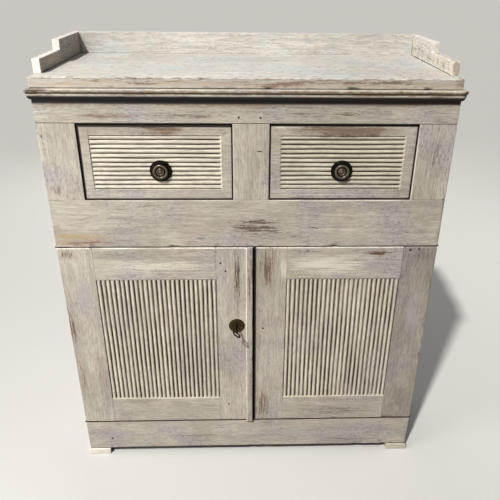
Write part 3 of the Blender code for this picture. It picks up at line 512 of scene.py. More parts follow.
def paint(name, grain, tones=BODY_TONES, marks=(), wear=0.0, crown=None, shade_and_dirt_depths=SHADE_AND_DIRT_DEPTHS, face=None):
    """Old paint over wood. Marks rub it through, and crown is the Y of reeds whose valleys are dark.

    The dark in the valleys is painted shade with some dirt; the argument after crown gives where it starts
    and where it is full, as shares of the reeds' depth.
    face is the Y of a door's front, behind which the painted shadow marks stop and the door's edge stays
    clean.
    """
    made = Shader(name)
    place = made.place
    add, times, step, mix, number = made.add, made.times, made.step, made.mix, made.math
    along = made.vector("MULTIPLY", place, GRAIN[grain])
    dashes = made.vector("MULTIPLY", place, DASH[grain])
    ripple = made.vector("SUBTRACT", made.noise(place, 70.0, 3.0, 0.6, "Color"), (0.5, 0.5, 0.5))
    ragged = made.vector("ADD", place, made.vector("MULTIPLY", ripple, (0.012, 0.012, 0.012)))

    cloud = made.noise(place, 6.0, 4.0, 0.6)
    second_cloud = made.noise(made.vector("ADD", place, (3.1, 1.7, 5.3)), 9.0, 4.0, 0.6)
    third_cloud = made.noise(made.vector("ADD", place, (7.9, 4.3, 2.9)), 7.0, 3.0, 0.55)
    streaks = made.noise(along, 230.0, 5.0, 0.68)
    wide_streaks = made.noise(made.vector("ADD", along, (1.3, 2.1, 0.7)), 80.0, 4.0, 0.62)
    fine = made.noise(made.vector("ADD", dashes, (5.3, 0.9, 3.7)), 520.0, 3.0, 0.7)
    flecks = made.noise(made.vector("MULTIPLY", place, SMEAR[grain]), 390.0, 3.0, 0.62)
    smears = made.noise(made.vector("MULTIPLY", place, SMEAR[grain]), 30.0, 5.0, 0.68)
    edge = made.attribute("edge")
    chip = made.attribute("chip")

    color = mottled(made, tones, cloud, second_cloud, third_cloud)
    clean = 0.45 if tones is TOP_TONES else 1.0
    if crown is not None:
        depth = number("SUBTRACT", made.axis(place, 1), crown)
        reeded = step(depth, -0.8 * REED_DROP, -0.2 * REED_DROP)
        reeded = times(reeded, step(edge, 0.02, 0.1, 1.0, 0.0))
        color = mix(reeded, mottled(made, BODY_TONES, cloud, second_cloud, third_cloud), color)
        clean = step(reeded, 0.0, 1.0, 1.0, 0.25)
    brushed = add(times(streaks, 0.5), times(wide_streaks, 0.3), times(smears, 0.2))
    color = made.scaled(color, step(brushed, 0.39, 0.60, 0.80, 1.06))
    color = made.scaled(color, step(fine, 0.36, 0.60, 0.80, 1.07))
    smoky = add(times(smears, 0.6), times(second_cloud, 0.4))
    smudged = step(smoky, 0.52, 0.64, 0.0, 0.36)
    color = mix(times(smudged, clean), color, SMUDGE)

    thin = add(times(streaks, 0.95), times(wide_streaks, 0.5), times(flecks, 0.25), -0.35)
    sums = dict.fromkeys(("bare", "dark", "nail", "drip", "shade_and_grime", "rim"), 0.0)
    for kind, *sizes, strength in marks:
        where, soft = (place, CRISP_EDGE) if kind in CRISP_MARKS else (ragged, BROAD_EDGE)
        spot = times(made.spot(where, *(size / 1000 for size in sizes), soft), strength)
        if kind in sums:
            sums[kind] = spot if sums[kind] == 0.0 else number("MAXIMUM", sums[kind], spot)
        else:
            push, low, high = WORN_RUB if kind in WORN_TINTS else EVEN_RUB
            rub = step(add(times(spot, push), thin), low, high)
            color = mix(number("MINIMUM", times(rub, spot), 1.0), color, TINTS[kind])

    dusty = times(step(third_cloud, 0.44, 0.64, 0.12, 0.68), clean)
    dusty = times(dusty, step(flecks, 0.54, 0.66))
    color = mix(dusty, color, FLECK)
    dark = times(step(add(thin, times(sums["dark"], 0.13)), 0.63, 0.72), sums["dark"])
    color = mix(times(dark, 0.85), color, WOOD_DARK)

    color = mix(times(sums["bare"], 0.28), color, VEIL)
    level = add(times(sums["bare"], 0.17), times(edge, 0.09), times(cloud, 0.22), wear - 0.11)
    bare = number("MAXIMUM", step(add(thin, level), 0.70, 0.79), chip)
    wood = mix(step(streaks, 0.40, 0.60), WOOD_DARK, WOOD)
    color = mix(times(bare, 0.85), color, wood)
    ridge = number("ABSOLUTE", number("SUBTRACT", wide_streaks, 0.5))
    worn = number("MAXIMUM", sums["bare"], sums["dark"])
    color = mix(times(step(ridge, 0.0, 0.016, 0.75, 0.0), worn), color, WOOD_DARK)
    if sums["drip"] != 0.0:
        runs = made.noise(made.vector("MULTIPLY", place, (1.0, 0.0, 0.03)), 190.0, 1.0, 0.5)
        color = mix(times(step(runs, 0.58, 0.66), sums["drip"], 0.6), color, FLECK)
    if crown is not None:
        # Painted shade with some dirt in the reeds' valleys
        start, full = shade_and_dirt_depths
        sunk = step(depth, start * REED_DEPTH, full * REED_DEPTH)
        dirt = times(sunk, step(smears, 0.34, 0.60, 0.55, 1.0))
        color = mix(times(dirt, 0.95), color, VALLEY_SHADE_AND_DIRT)
        # Painted shadow of the gap round a drawer front, along its outer edge
        color = mix(step(edge, 0.66, 0.92, 0.0, 0.9), color, SHADE_AND_GRIME)
    # Painted highlights along lit edges, broken where the paint is thin
    color = mix(times(sums["rim"], step(thin, 0.34, 0.62, 1.0, 0.2)), color, RIM)
    # Painted shadow in gaps and creases and under the cornice and plinth, with some grime; on the doors it
    # stops just behind the front
    shade_and_grime = sums["shade_and_grime"]
    if face is not None:
        shade_and_grime = times(shade_and_grime, step(made.axis(place, 1), face + 0.003, face + 0.006, 1.0, 0.0))
    color = mix(shade_and_grime, color, SHADE_AND_GRIME)
    color = mix(sums["nail"], color, NAIL)

    made.surface.inputs["Specular IOR Level"].default_value = PAINT_GLOSS
    height = add(times(streaks, 0.6), times(dusty, -0.35))
    height = add(height, times(bare, -0.4), times(sums["nail"], -1.5))
    return made.done(color, step(bare, 0.0, 1.0, 0.62, 0.82), height, 0.5, 0.0008)


def mottled(made, tones, cloud, second_cloud, third_cloud):
    """Four tones that run into each other in large patches."""
    color = made.mix(made.step(cloud, 0.38, 0.64), tones[0], tones[1])
    color = made.mix(made.step(second_cloud, 0.46, 0.68, 0.0, 0.8), color, tones[2])
    return made.mix(made.step(third_cloud, 0.48, 0.68, 0.0, 0.75), color, tones[3])


def pine(name, grain, tones=PINE, shift=0.0):
    """Bare old softwood: soft bands along the grain, with dark pores. shift picks another board of it."""
    made = Shader(name)
    place = made.vector("ADD", made.place, (shift, 2.3 * shift, 1.7 * shift))
    along = made.vector("MULTIPLY", place, GRAIN[grain])
    bands = made.noise(along, 34.0, 3.0, 0.5)
    rings = made.math("SINE", made.times(bands, 42.0))
    pores = made.noise(along, 330.0, 4.0, 0.6)
    dirt = made.noise(place, 7.0, 4.0, 0.6)
    color = made.mix(made.step(rings, -0.9, 1.0, 0.1, 0.65), tones[0], tones[1])
    color = made.mix(made.step(pores, 0.54, 0.70, 0.0, 0.7), color, tones[2])
    color = made.mix(made.step(dirt, 0.50, 0.78, 0.0, 0.6), color, tones[2])
    height = made.add(made.times(pores, 0.7), made.times(rings, 0.15))
    return made.done(color, made.step(pores, 0.35, 0.7, 0.66, 0.84), height, 0.35, 0.0006)


def metal(name, tones, roughness, raised=None, metallic=0.9):
    """Old metal with dull patches. raised is two Y values, from the low ground to the rubbed high parts."""
    made = Shader(name)
    patches = made.noise(made.place, 190.0, 4.0, 0.6)
    grit = made.noise(made.place, 900.0, 3.0, 0.6)
    color = made.mix(made.step(patches, 0.38, 0.66), tones[0], tones[1])
    rubbed = made.step(grit, 0.56, 0.74, 0.0, 0.5)
    if raised:
        low, high = raised
        height = made.math("DIVIDE", made.math("SUBTRACT", made.axis(made.place, 1), low), high - low)
        rubbed = made.times(made.step(height, 0.35, 0.9), made.step(patches, 0.30, 0.70, 1.0, 0.5))
    color = made.mix(rubbed, color, tones[2])
    made.surface.inputs["Metallic"].default_value = metallic
    height = made.add(made.times(patches, 0.6), made.times(grit, 0.4))
    return made.done(color, made.step(patches, 0.3, 0.7, roughness, roughness + 0.18), height, 0.15, 0.0004)


def face_out(bm):
    """Turns all faces outward."""
    bmesh.ops.recalc_face_normals(bm, faces=bm.faces)
    if bm.calc_volume(signed=True) < 0.0:
        bmesh.ops.reverse_faces(bm, faces=bm.faces)


def mesh_of(bm, name):
    face_out(bm)
    mesh = bpy.data.meshes.new(name)
    bm.to_mesh(mesh)
    bm.free()
    return mesh


def placed(name, data):
    """A new object in the scene."""
    made = bpy.data.objects.new(name, data)
    bpy.context.scene.collection.objects.link(made)
    return made


def stand_in(node, mesh, *materials):
    """A piece that replaces a node, on the node's body, with the node hidden."""
    piece = placed(f"{node}_look", mesh)
    for material in materials:
        mesh.materials.append(material)
    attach(piece, BODY_OF[node])
    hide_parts(node)


def evaluated(mesh, *steps):
    """The mesh after modifiers, each given as a type and its settings."""
    holder = placed("holder", mesh)
    for kind, settings in steps:
        modifier = holder.modifiers.new(kind, kind)
        for key, value in settings.items():
            setattr(modifier, key, value)
    graph = bpy.context.evaluated_depsgraph_get()
    made = bpy.data.meshes.new_from_object(holder.evaluated_get(graph))
    bpy.data.objects.remove(holder)
    return made


def cut_out(mesh, *tools):
    """The mesh with the closed tool meshes cut away."""
    holders = [placed("tool", tool) for tool in tools]
    cut = {"operation": "DIFFERENCE", "solver": "EXACT"}
    made = evaluated(mesh, *(("BOOLEAN", {**cut, "object": holder}) for holder in holders))
    for holder in holders:
        bpy.data.objects.remove(holder)
    return made


def box_mesh(low, high):
    low = Vector(low)
    high = Vector(high)
    bm = bmesh.new()
    matrix = Matrix.Translation((low + high) / 2) @ Matrix.Diagonal((*(high - low), 1.0))
    bmesh.ops.create_cube(bm, size=1.0, matrix=matrix)
    return mesh_of(bm, "box")


def rod_mesh(start, end, radius):
    """A round bar along Y between two points."""
    bm = bmesh.new()
    turn = Matrix.Rotation(math.pi / 2, 4, "X")
    matrix = Matrix.Translation((start + end) / 2) @ turn
    length = (end - start).length
    bmesh.ops.create_cone(
        bm, cap_ends=True, segments=ROD_STEPS, radius1=radius, radius2=radius, depth=length, matrix=matrix
    )
    return mesh_of(bm, "rod")


def rounded(corners, radius=EDGE_R, joints=()):
    """Outline points with an edge weight: every sharp corner becomes an arc between two support points.

    joints are the numbers of the corners that lie at a joint, which are crisp.
    """
    made = []
    for index, corner in enumerate(corners):
        here = Vector(corner)
        legs = [Vector(corners[index - 1]) - here, Vector(corners[(index + 1) % len(corners)]) - here]
        if legs[0].angle(-legs[1]) < SOFT_TURN:
            made.append((here, 0.0))
            continue
        weight = JOINT_WEIGHT if index in joints else 1.0
        shortest = min(leg.length for leg in legs)
        reach = min(JOINT_R if index in joints else radius, ARC_SHARE * shortest)
        hold = min(SUPPORT, HOLD_SHARE * shortest)
        start, end = (here + leg.normalized() * reach for leg in legs)
        before, after = (here + leg.normalized() * hold for leg in legs)
        made.append((before, 0.0))
        for step in range(ARC_STEPS + 1):
            share = step / ARC_STEPS
            made.append((start.lerp(here, share).lerp(here.lerp(end, share), share), weight))
        made.append((after, 0.0))
    return made


def divided(outline):
    """The outline with points added along its long straight runs."""
    made = []
    for index, (point, weight) in enumerate(outline):
        made.append((point, weight))
        after = outline[(index + 1) % len(outline)][0]
        count = int((after - point).length // SECTION)
        made += [(point.lerp(after, step / (count + 1)), 0.0) for step in range(1, count + 1)]
    return made


def stations(start, end, joints):
    """Sections along a piece: place, inset and edge weight, with both ends rounded.

    An end that joints names, - for the start and + for the end, is crisp.
    """
    ramps = []
    for name in "-+":
        radius = JOINT_R if name in joints else END_R
        weight = JOINT_WEIGHT if name in joints else 1.0
        ramps.append([(0.0, radius, weight), (0.3 * radius, 0.29 * radius, weight), (radius, 0.0, weight)])
    hold = min(SUPPORT, END_HOLD_SHARE * (end - start))
    run = end - start - 2 * hold
    count = max(1, round(run / SECTION))
    inner = [hold + run * step / count for step in range(count + 1)]
    rows = [(start + at, inset, weight) for at, inset, weight in ramps[0]]
    rows += [(start + at, 0.0, 0.0) for at in inner]
    return rows + [(end - at, inset, weight) for at, inset, weight in reversed(ramps[1])]


def laid(axis, point, along):
    """A point of an outline carried to the place along that axis."""
    place = [point.x, point.y]
    place.insert("XYZ".index(axis), along)
    return Vector(place)


def chip_at(place, wear):
    """How far an edge is chipped at a place, from 0 to 1."""
    value = noise.noise(place * CHIP_SCALE) + 0.5 * noise.noise(place * (2.7 * CHIP_SCALE))
    return min(1.0, max(0.0, (value - CHIP_START + 0.2 * (wear - 1.0)) / CHIP_RANGE)) * min(1.0, wear)


def outward(points):
    """The outline's normal at each of its points."""
    area = sum(a.cross(b) for a, b in zip(points, points[1:] + points[:1]))
    sign = math.copysign(1.0, area)
    made = []
    for index, point in enumerate(points):
        after = points[(index + 1) % len(points)]
        run = (after - point).normalized() + (point - points[index - 1]).normalized()
        made.append(Vector((run.y, -run.x)).normalized() * sign)
    return made


def prism(outline, axis, start, end, wear, bare=(), warp=None, joints=""):
    """A closed length of an outline with chipped edges.

    Faces that look along a direction in bare take the second material.
    """
    bm = bmesh.new()
    edge_layer = bm.verts.layers.float.new("edge")
    chip_layer = bm.verts.layers.float.new("chip")
    points = [point for point, _ in outline]
    normals = outward(points)
    rings = []
    for along, inset, end_weight in stations(start, end, joints):
        ring = []
        for (point, weight), normal in zip(outline, normals):
            flat = point - normal * inset
            place = laid(axis, flat, along)
            edge = max(weight, end_weight)
            chip = 0.0
            if edge > JOINT_WEIGHT:
                chip = chip_at(place, wear)
                sag = SAG * noise.noise(place * SAG_SCALE) - CHIP_DEPTH * chip
                place = laid(axis, flat + normal * min(0.0, sag), along)
            vert = bm.verts.new(warp(place) if warp else place)
            vert[edge_layer] = edge
            vert[chip_layer] = chip
            ring.append(vert)
        rings.append((ring, end_weight))
    count = len(outline)
    for (ring, end_a), (other, end_b) in zip(rings, rings[1:]):
        for index in range(count):
            after = (index + 1) % count
            face = bm.faces.new((ring[index], ring[after], other[after], other[index]))
            arc = outline[index][1] > 0.0 and outline[after][1] > 0.0
            face.smooth = arc or (end_a > 0.0 and end_b > 0.0)
    bm.faces.new(rings[0][0])
    bm.faces.new(rings[-1][0])
    face_out(bm)
    for face in bm.faces:
        if any(face.normal.dot(way_of(name)) > FACES_ALONG for name in bare):
            face.material_index = 1
    return mesh_of(bm, "prism")


def way_of(name):
    """The direction that a name such as +X or -Z gives."""
    way = Vector((0.0, 0.0, 0.0))
    way["XYZ".index(name[1])] = -1.0 if name[0] == "-" else 1.0
    return way


def board_mesh(low, high, grain, wear, radius=EDGE_R, bare=(), joints=()):
    """A board between two corners, with its sections along the grain. joints are sides such as +X."""
    u, v = [index for index in range(3) if "XYZ"[index] != grain]
    corners = ((low[u], low[v]), (high[u], low[v]), (high[u], high[v]), (low[u], high[v]))
    beside = {f"-{'XYZ'[u]}": (0, 3), f"+{'XYZ'[u]}": (1, 2), f"-{'XYZ'[v]}": (0, 1), f"+{'XYZ'[v]}": (2, 3)}
    crisp = {corner for name in joints for corner in beside.get(name, ())}
    ends = "".join(name[0] for name in joints if name[1] == grain)
    along = "XYZ".index(grain)
    outline = rounded(corners, radius, crisp)
    return prism(outline, grain, low[along], high[along], wear, bare, joints=ends)


SHARED = {grain: paint(f"paint_{grain.lower()}", grain) for grain in GRAIN}
PINES = {grain: pine(f"pine_{grain.lower()}", grain) for grain in GRAIN}
OLD_AND_SHADED_PINES = {grain: pine(f"old_and_shaded_pine_{grain.lower()}", grain, OLD_AND_SHADED_PINE) for grain in GRAIN}


def coat(node, grain, tones=BODY_TONES, wear=0.0, crown=None, shade_and_dirt_depths=SHADE_AND_DIRT_DEPTHS):
    """The node's own paint where it has marks or a tone of its own, and otherwise the shared one."""
    marks = MARKS.get(node, ())
    if not marks and tones is BODY_TONES and wear == 0.0 and crown is None:
        return SHARED[grain]
    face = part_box(node)[0].y if "door" in node or node == "meeting_strip" else None
    return paint(f"paint_{node}", grain, tones, marks, wear, crown, shade_and_dirt_depths, face)


def painted_board(
    node, grain, wear, radius=EDGE_R, bare=(), joints=(), tones=BODY_TONES, pines=OLD_AND_SHADED_PINES, **trim
):
    """A painted board in a node's box. trim gives new low or high coordinates, such as low_x."""
    low, high = trimmed(node, trim)
    mesh = board_mesh(low, high, grain, wear, radius, bare, joints)
    stand_in(node, mesh, coat(node, grain, tones), pines[grain])


def outlined(node, outline, axis, *materials, wear, bare=()):
    """A piece whose outline runs along an axis through the node's box."""
    low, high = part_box(node)
    along = "XYZ".index(axis)
    stand_in(node, prism(outline, axis, low[along], high[along], wear, bare), *materials)


def bare_board(node, grain, **trim):
    low, high = trimmed(node, trim)
    stand_in(node, board_mesh(low, high, grain, INNER_WEAR), PINES[grain])


def trimmed(node, trim):
    """The node's box with the coordinates that trim gives."""
    low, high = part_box(node)
    for key, value in trim.items():
        end, axis = key.split("_")
        setattr(low if end == "low" else high, axis, value)
    return low, high


def make_frame():
    """The front frame. Its faces inside the drawer openings are bare, in pine darkened by age and as painted
    shade.
    """
    painted_board("plinth_rail", "X", wear=1.1, bare=("+Y", "+Z"))
    painted_board("drawer_rail", "X", wear=1.0, bare=("+Y", "+Z", "-Z"), joints=("+Z",))
    painted_board("top_rail", "X", wear=0.9, bare=("+Y", "-Z"), joints=("-Z",))
    ends = {"low_z": RAIL_TOP + JOINT_GAP, "high_z": DRAWERS_TOP - JOINT_GAP}
    for node, inner in (("left_stile", ("+X",)), ("centre_stile", ("-X", "+X")), ("right_stile", ("-X",))):
        joints = ("-Z", "+Z", *inner)
        painted_board(node, "Z", wear=0.9, bare=("+Y", *inner), joints=joints, **ends)


def make_carcass():
    for side, sign in SIDES.items():
        node = f"{side}_side"
        low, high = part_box(node)
        outer = sign * HALF_W
        inner = sign * SIDE_INNER
        rebate = sign * (SIDE_INNER + BACK_REBATE)
        shelf_y = high.y - BACK_T - JOINT_GAP
        corners = (
            (outer, low.y), (outer, high.y), (rebate, high.y),
            (rebate, shelf_y), (inner, shelf_y), (inner, low.y),
        )
        inward = "-X" if sign > 0 else "+X"
        outline = rounded(corners, EDGE_R, (0,))
        outlined(node, outline, "Z", coat(node, "Z"), PINES["Z"], wear=1.0, bare=(inward,))
    reach = SIDE_INNER - JOINT_GAP
    for node in ("bottom_board", "shelf"):
        bare_board(node, "X", low_x=-reach, high_x=reach)
    for index in (1, 2, 3):
        node = f"back_board_{index}"
        low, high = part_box(node)
        wood = pine(f"pine_{node}", "Z", BACK_PINE, shift=1.9 * index)
        stand_in(node, board_mesh(low, high, "Z", INNER_WEAR), wood)
    for row in ("front", "back"):
        for side in SIDES:
            # The left feet are near white, and the right ones take the darker reed paint, as painted shade
            # where less light falls
            tones = FOOT_TONES if side == "left" else REED_TONES
            painted_board(f"{row}_{side}_foot", "X", wear=1.2, tones=tones)


def make_runners():
    for side, sign in SIDES.items():
        node = f"{side}_runner"
        low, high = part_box(node)
        near, far = (low.x, high.x) if sign > 0 else (high.x, low.x)
        guide = sign * OPENING_X
        corners = (
            (near, low.z), (far, low.z), (far, high.z),
            (guide, high.z), (guide, RAIL_TOP), (near, RAIL_TOP),
        )
        outlined(node, rounded(corners), "Y", PINES["Y"], wear=INNER_WEAR)
    low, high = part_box("centre_runner")
    left = edge_of("centre_stile", "X", 0)
    right = edge_of("centre_stile", "X", 1)
    corners = (
        (low.x, low.z), (high.x, low.z), (high.x, RAIL_TOP), (right, RAIL_TOP),
        (right, high.z), (left, high.z), (left, RAIL_TOP), (low.x, RAIL_TOP),
    )
    outlined("centre_runner", rounded(corners), "Y", PINES["Y"], wear=INNER_WEAR)


def make_top():
    painted_board("top_board", "X", wear=1.2, radius=TOP_R, bare=("-Z",), tones=TOP_TONES)
    painted_board("gallery_back", "X", wear=1.0, radius=GALLERY_R, joints=("-Z",), tones=TOP_TONES)
    # Darker paint for the left gallery's inner face, as painted shade
    gallery_shade_paint = paint("paint_gallery_shaded", "Y", DULL_AND_SHADED_TONES)
    for side in SIDES:
        node = f"gallery_{side}"
        low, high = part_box(node)
        step_y = low.y + GALLERY_STEP_RUN
        step_z = low.z + GALLERY_LOW_H
        corners = (
            (low.y, low.z), (high.y, low.z), (high.y, high.z),
            (step_y, high.z), (step_y, step_z), (low.y, step_z),
        )
        inner = ("+X",) if side == "left" else ()
        outline = divided(rounded(corners, GALLERY_R, (0, 1)))
        # The gallery sides take paint lighter than the top's, as painted light; the left one's inner face
        # takes the darker paint, as painted shade
        outlined(node, outline, "X", coat(node, "Y", GALLERY_LIT_TONES), gallery_shade_paint, wear=0.5, bare=inner)


def cornice_outline(height, out):
    """(out, up) from the wall: a foot, an ovolo, a quirk and a square fillet, with edge weights."""
    ovolo_out = out - CORNICE_QUIRK
    ovolo_top = height - CORNICE_FILLET
    points = [(Vector((0.0, 0.0)), 0.0)]
    for index in range(OVOLO_STEPS + 1):
        angle = index / OVOLO_STEPS * math.pi / 2
        bulge = CORNICE_FOOT + (ovolo_out - CORNICE_FOOT) * math.sin(angle)
        points.append((Vector((bulge, ovolo_top * (1 - math.cos(angle)))), 0.25))
    points += [
        (Vector((out - CORNICE_SOFT, ovolo_top)), 0.0),
        (Vector((out, ovolo_top + CORNICE_SOFT)), 0.8),
        (Vector((out, height - CORNICE_SOFT)), 1.0),
        (Vector((out - CORNICE_SOFT, height)), 1.0),
        (Vector((0.0, height)), 0.0),
    ]
    return points


def make_cornice():
    """Three lengths of moulding, mitred by setting each end out with its profile."""
    low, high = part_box("cornice_front")
    profile = cornice_outline(high.z - low.z, high.x - HALF_W)
    wall = FRONT - JOINT_GAP
    outline = [(Vector((wall - point.x, low.z + point.y)), weight) for point, weight in profile]

    def front_mitre(place):
        return Vector((place.x * (HALF_W + wall - place.y) / HALF_W, place.y, place.z))

    mesh = prism(outline, "X", -HALF_W, HALF_W, wear=0.7, warp=front_mitre)
    stand_in("cornice_front", mesh, coat("cornice_front", "X", wear=0.03))
    depth = BACK - FRONT
    for side, sign in SIDES.items():
        node = f"cornice_{side}"
        wall_x = sign * (HALF_W + JOINT_GAP)
        outline = [(Vector((wall_x + sign * point.x, low.z + point.y)), weight) for point, weight in profile]

        def side_mitre(place, wall_x=wall_x):
            start = FRONT + JOINT_GAP - abs(place.x - wall_x)
            return Vector((place.x, start + (place.y - FRONT) / depth * (BACK - start), place.z))

        mesh = prism(outline, "Y", FRONT, BACK, wear=1.2, warp=side_mitre)
        stand_in(node, mesh, coat(node, "Y"))


def reed_depth(across, row, along, seed):
    """How deep a reed lies below its crown, at a place from -1 to 1 across it."""
    angle = math.asin(across * math.sin(REED_HALF_ARC))
    depth = REED_DEPTH * (1 - math.cos(angle)) / (1 - math.cos(REED_HALF_ARC))
    depth *= 1.0 + REED_UNEVEN * noise.noise(Vector((row * 3.1, along * 14.0, seed)))
    return depth + REED_SWELL * abs(noise.noise(Vector((row * 5.7, along * 6.0, seed + 4.0))))


def end_rows():
    """Distances from a reed's end at which its run-out is shaped."""
    return [REED_END * step / REED_END_STEPS for step in range(REED_END_STEPS + 1)]


def run_out(near):
    """How much of a reed's depth is left at a distance from its end, where the gouge comes up."""
    return 1.0 - (1.0 - min(1.0, near / REED_END)) ** 2


def valley_place(row, along, start, pitch, count, seed):
    """Where the valley before a reed lies, a little off its line except at the ends of the row."""
    wander = REED_WOBBLE * noise.noise(Vector((row * 7.3, along * 11.0, seed)))
    return start + row * pitch + (wander if 0 < row < count else 0.0)


def reed_sample(index, along, near_end, start, pitch, count, seed):
    """One sample across a row of reeds: its place, and how deep it lies below the crowns."""
    reed, sample = divmod(index, REED_SAMPLES)
    share = sample / REED_SAMPLES
    before = valley_place(reed, along, start, pitch, count, seed)
    after = valley_place(min(count, reed + 1), along, start, pitch, count, seed)
    depth = reed_depth(2 * share - 1, reed, along, seed) * run_out(near_end)
    return before + (after - before) * share, depth


def relief_mesh(grid, back_y, rim_slot=0):
    """A closed block whose front is a grid of (point, edge) rows and whose back is flat and bare.

    rim_slot is the number of the material on its sides.
    """
    bm = bmesh.new()
    edge_layer = bm.verts.layers.float.new("edge")
    rows = []
    for row in grid:
        verts = []
        for point, edge in row:
            vert = bm.verts.new(point)
            vert[edge_layer] = edge
            verts.append(vert)
        rows.append(verts)
    for low, high in zip(rows, rows[1:]):
        for a, b, c, d in zip(low, low[1:], high[1:], high):
            bm.faces.new((a, b, c, d)).smooth = True
    rim = rows[0] + [row[-1] for row in rows[1:-1]] + rows[-1][::-1] + [row[0] for row in rows[-2:0:-1]]
    behind = [bm.verts.new((vert.co.x, back_y, vert.co.z)) for vert in rim]
    for index in range(len(rim)):
        after = (index + 1) % len(rim)
        side = bm.faces.new((rim[index], rim[after], behind[after], behind[index]))
        side.material_index = rim_slot
    bm.faces.new(behind).material_index = 1
    mesh = mesh_of(bm, "relief")
    mesh.set_sharp_from_angle(angle=RELIEF_SHARP)
    return mesh


def spread(low, high, dense):
    """Places from low to high: the dense ones at both ends, and even steps between them."""
    run = high - low - 2 * dense[-1]
    count = max(1, round(run / SECTION))
    inner = [low + dense[-1] + run * step / count for step in range(1, count)]
    return [low + at for at in dense] + inner + [high - at for at in reversed(dense)]


def make_panel(side, seed, low_x, high_x):
    """A door panel with upright reeds whose valleys run out at both ends."""
    node = f"{side}_door_panel"
    low_z = edge_of(f"{side}_door_bottom_rail", "Z", 1) + JOINT_GAP
    high_z = edge_of(f"{side}_door_top_rail", "Z", 0) - JOINT_GAP
    crown = FRONT + REED_DROP
    count = round((high_x - low_x) / DOOR_REED_PITCH)
    pitch = (high_x - low_x) / count
    grid = []
    for z in spread(low_z, high_z, end_rows()):
        near_end = min(z - low_z, high_z - z)
        row = []
        for index in range(count * REED_SAMPLES + 1):
            x, depth = reed_sample(index, z, near_end, low_x, pitch, count, seed)
            row.append((Vector((x, crown + depth, z)), 0.0))
        grid.append(row)
    mesh = relief_mesh(grid, edge_of(node, "Y", 1))
    stand_in(node, mesh, coat(node, "Z", PANEL_TONES, wear=-0.1, crown=crown), PINES["Z"])


def border_point(x, z, low, high):
    """A point on the border of a drawer front, rounded and chipped at the outside, and its edge weight."""
    near = min(x - low.x, high.x - x, z - low.z, high.z - z)
    fall = max(0.0, 1.0 - near / EDGE_R)
    chip = chip_at(Vector((x, low.y, z)), 1.0) if near <= EDGE_R else 0.0
    drop = EDGE_R * (1.0 - math.sqrt(max(0.0, 1.0 - fall**2))) + RIM_CHIP_DEPTH * chip
    return Vector((x, low.y + drop, z)), max(0.0, 1.0 - near / SUPPORT)


def make_drawer_front(side, seed):
    """A drawer front with level reeds in a sunk field, and laps for the drawer's sides."""
    node = f"{side}_drawer_front"
    low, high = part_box(node)
    crown = low.y + REED_DROP
    field_low = low.z + DRAWER_BORDER
    field_high = high.z - DRAWER_BORDER
    field_left = low.x + DRAWER_BORDER
    field_right = high.x - DRAWER_BORDER
    count = round((field_high - field_low) / DRAWER_REED_PITCH)
    pitch = (field_high - field_low) / count
    rim = (0.0, 0.3 * EDGE_R, EDGE_R, SUPPORT, DRAWER_BORDER - FIELD_WALL)
    columns = [(low.x + at, False) for at in rim]
    columns += [(x, True) for x in spread(field_left, field_right, end_rows())]
    columns += [(high.x - at, False) for at in reversed(rim)]
    rows = [(low.z + at, None) for at in rim]
    rows += [(field_low + index / REED_SAMPLES * pitch, index) for index in range(count * REED_SAMPLES + 1)]
    rows += [(high.z - at, None) for at in reversed(rim)]
    grid = []
    for z, index in rows:
        line = []
        for x, in_columns in columns:
            if index is None or not in_columns:
                line.append(border_point(x, z, low, high))
                continue
            near_end = min(x - field_left, field_right - x)
            reed_z, depth = reed_sample(index, x, near_end, field_low, pitch, count, seed)
            line.append((Vector((x, crown + depth, reed_z)), 0.0))
        grid.append(line)
    mesh = relief_mesh(grid, high.y, rim_slot=2)
    laps = []
    for hand in SIDES:
        side_low, side_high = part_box(f"{side}_drawer_{hand}_side")
        side_low += Vector((-OVERCUT if hand == "left" else 0.0, 0.0, -OVERCUT))
        side_high += Vector((OVERCUT if hand == "right" else 0.0, 0.0, JOINT_GAP))
        side_low.y = high.y - DRAWER_LAP
        side_high.y = high.y + OVERCUT
        laps.append(box_mesh(side_low, side_high))
    mesh = cut_out(mesh, *laps)
    # The left drawer takes lighter paint than the right one, partly as painted light where more light falls
    tones = DRAWER_TONES if side == "left" else REED_TONES
    face_paint = coat(node, "X", tones, wear=-0.04, crown=crown, shade_and_dirt_depths=DRAWER_SHADE_AND_DIRT_DEPTHS)
    rim_pine = pine(f"pine_{node}", "X", EDGE_PINE, shift=2.3 * seed)
    stand_in(node, mesh, face_paint, PINES["X"], rim_pine)


def make_drawer(side, seed):
    make_drawer_front(side, seed)
    prefix = f"{side}_drawer"
    rear = edge_of(f"{prefix}_front", "Y", 1)
    inner_left = edge_of(f"{prefix}_left_side", "X", 1) + JOINT_GAP
    inner_right = edge_of(f"{prefix}_right_side", "X", 0) - JOINT_GAP
    for hand in SIDES:
        bare_board(f"{prefix}_{hand}_side", "Y")
    bare_board(f"{prefix}_back", "X")
    bare_board(f"{prefix}_bottom", "X", low_x=inner_left, high_x=inner_right, low_y=rear + JOINT_GAP)


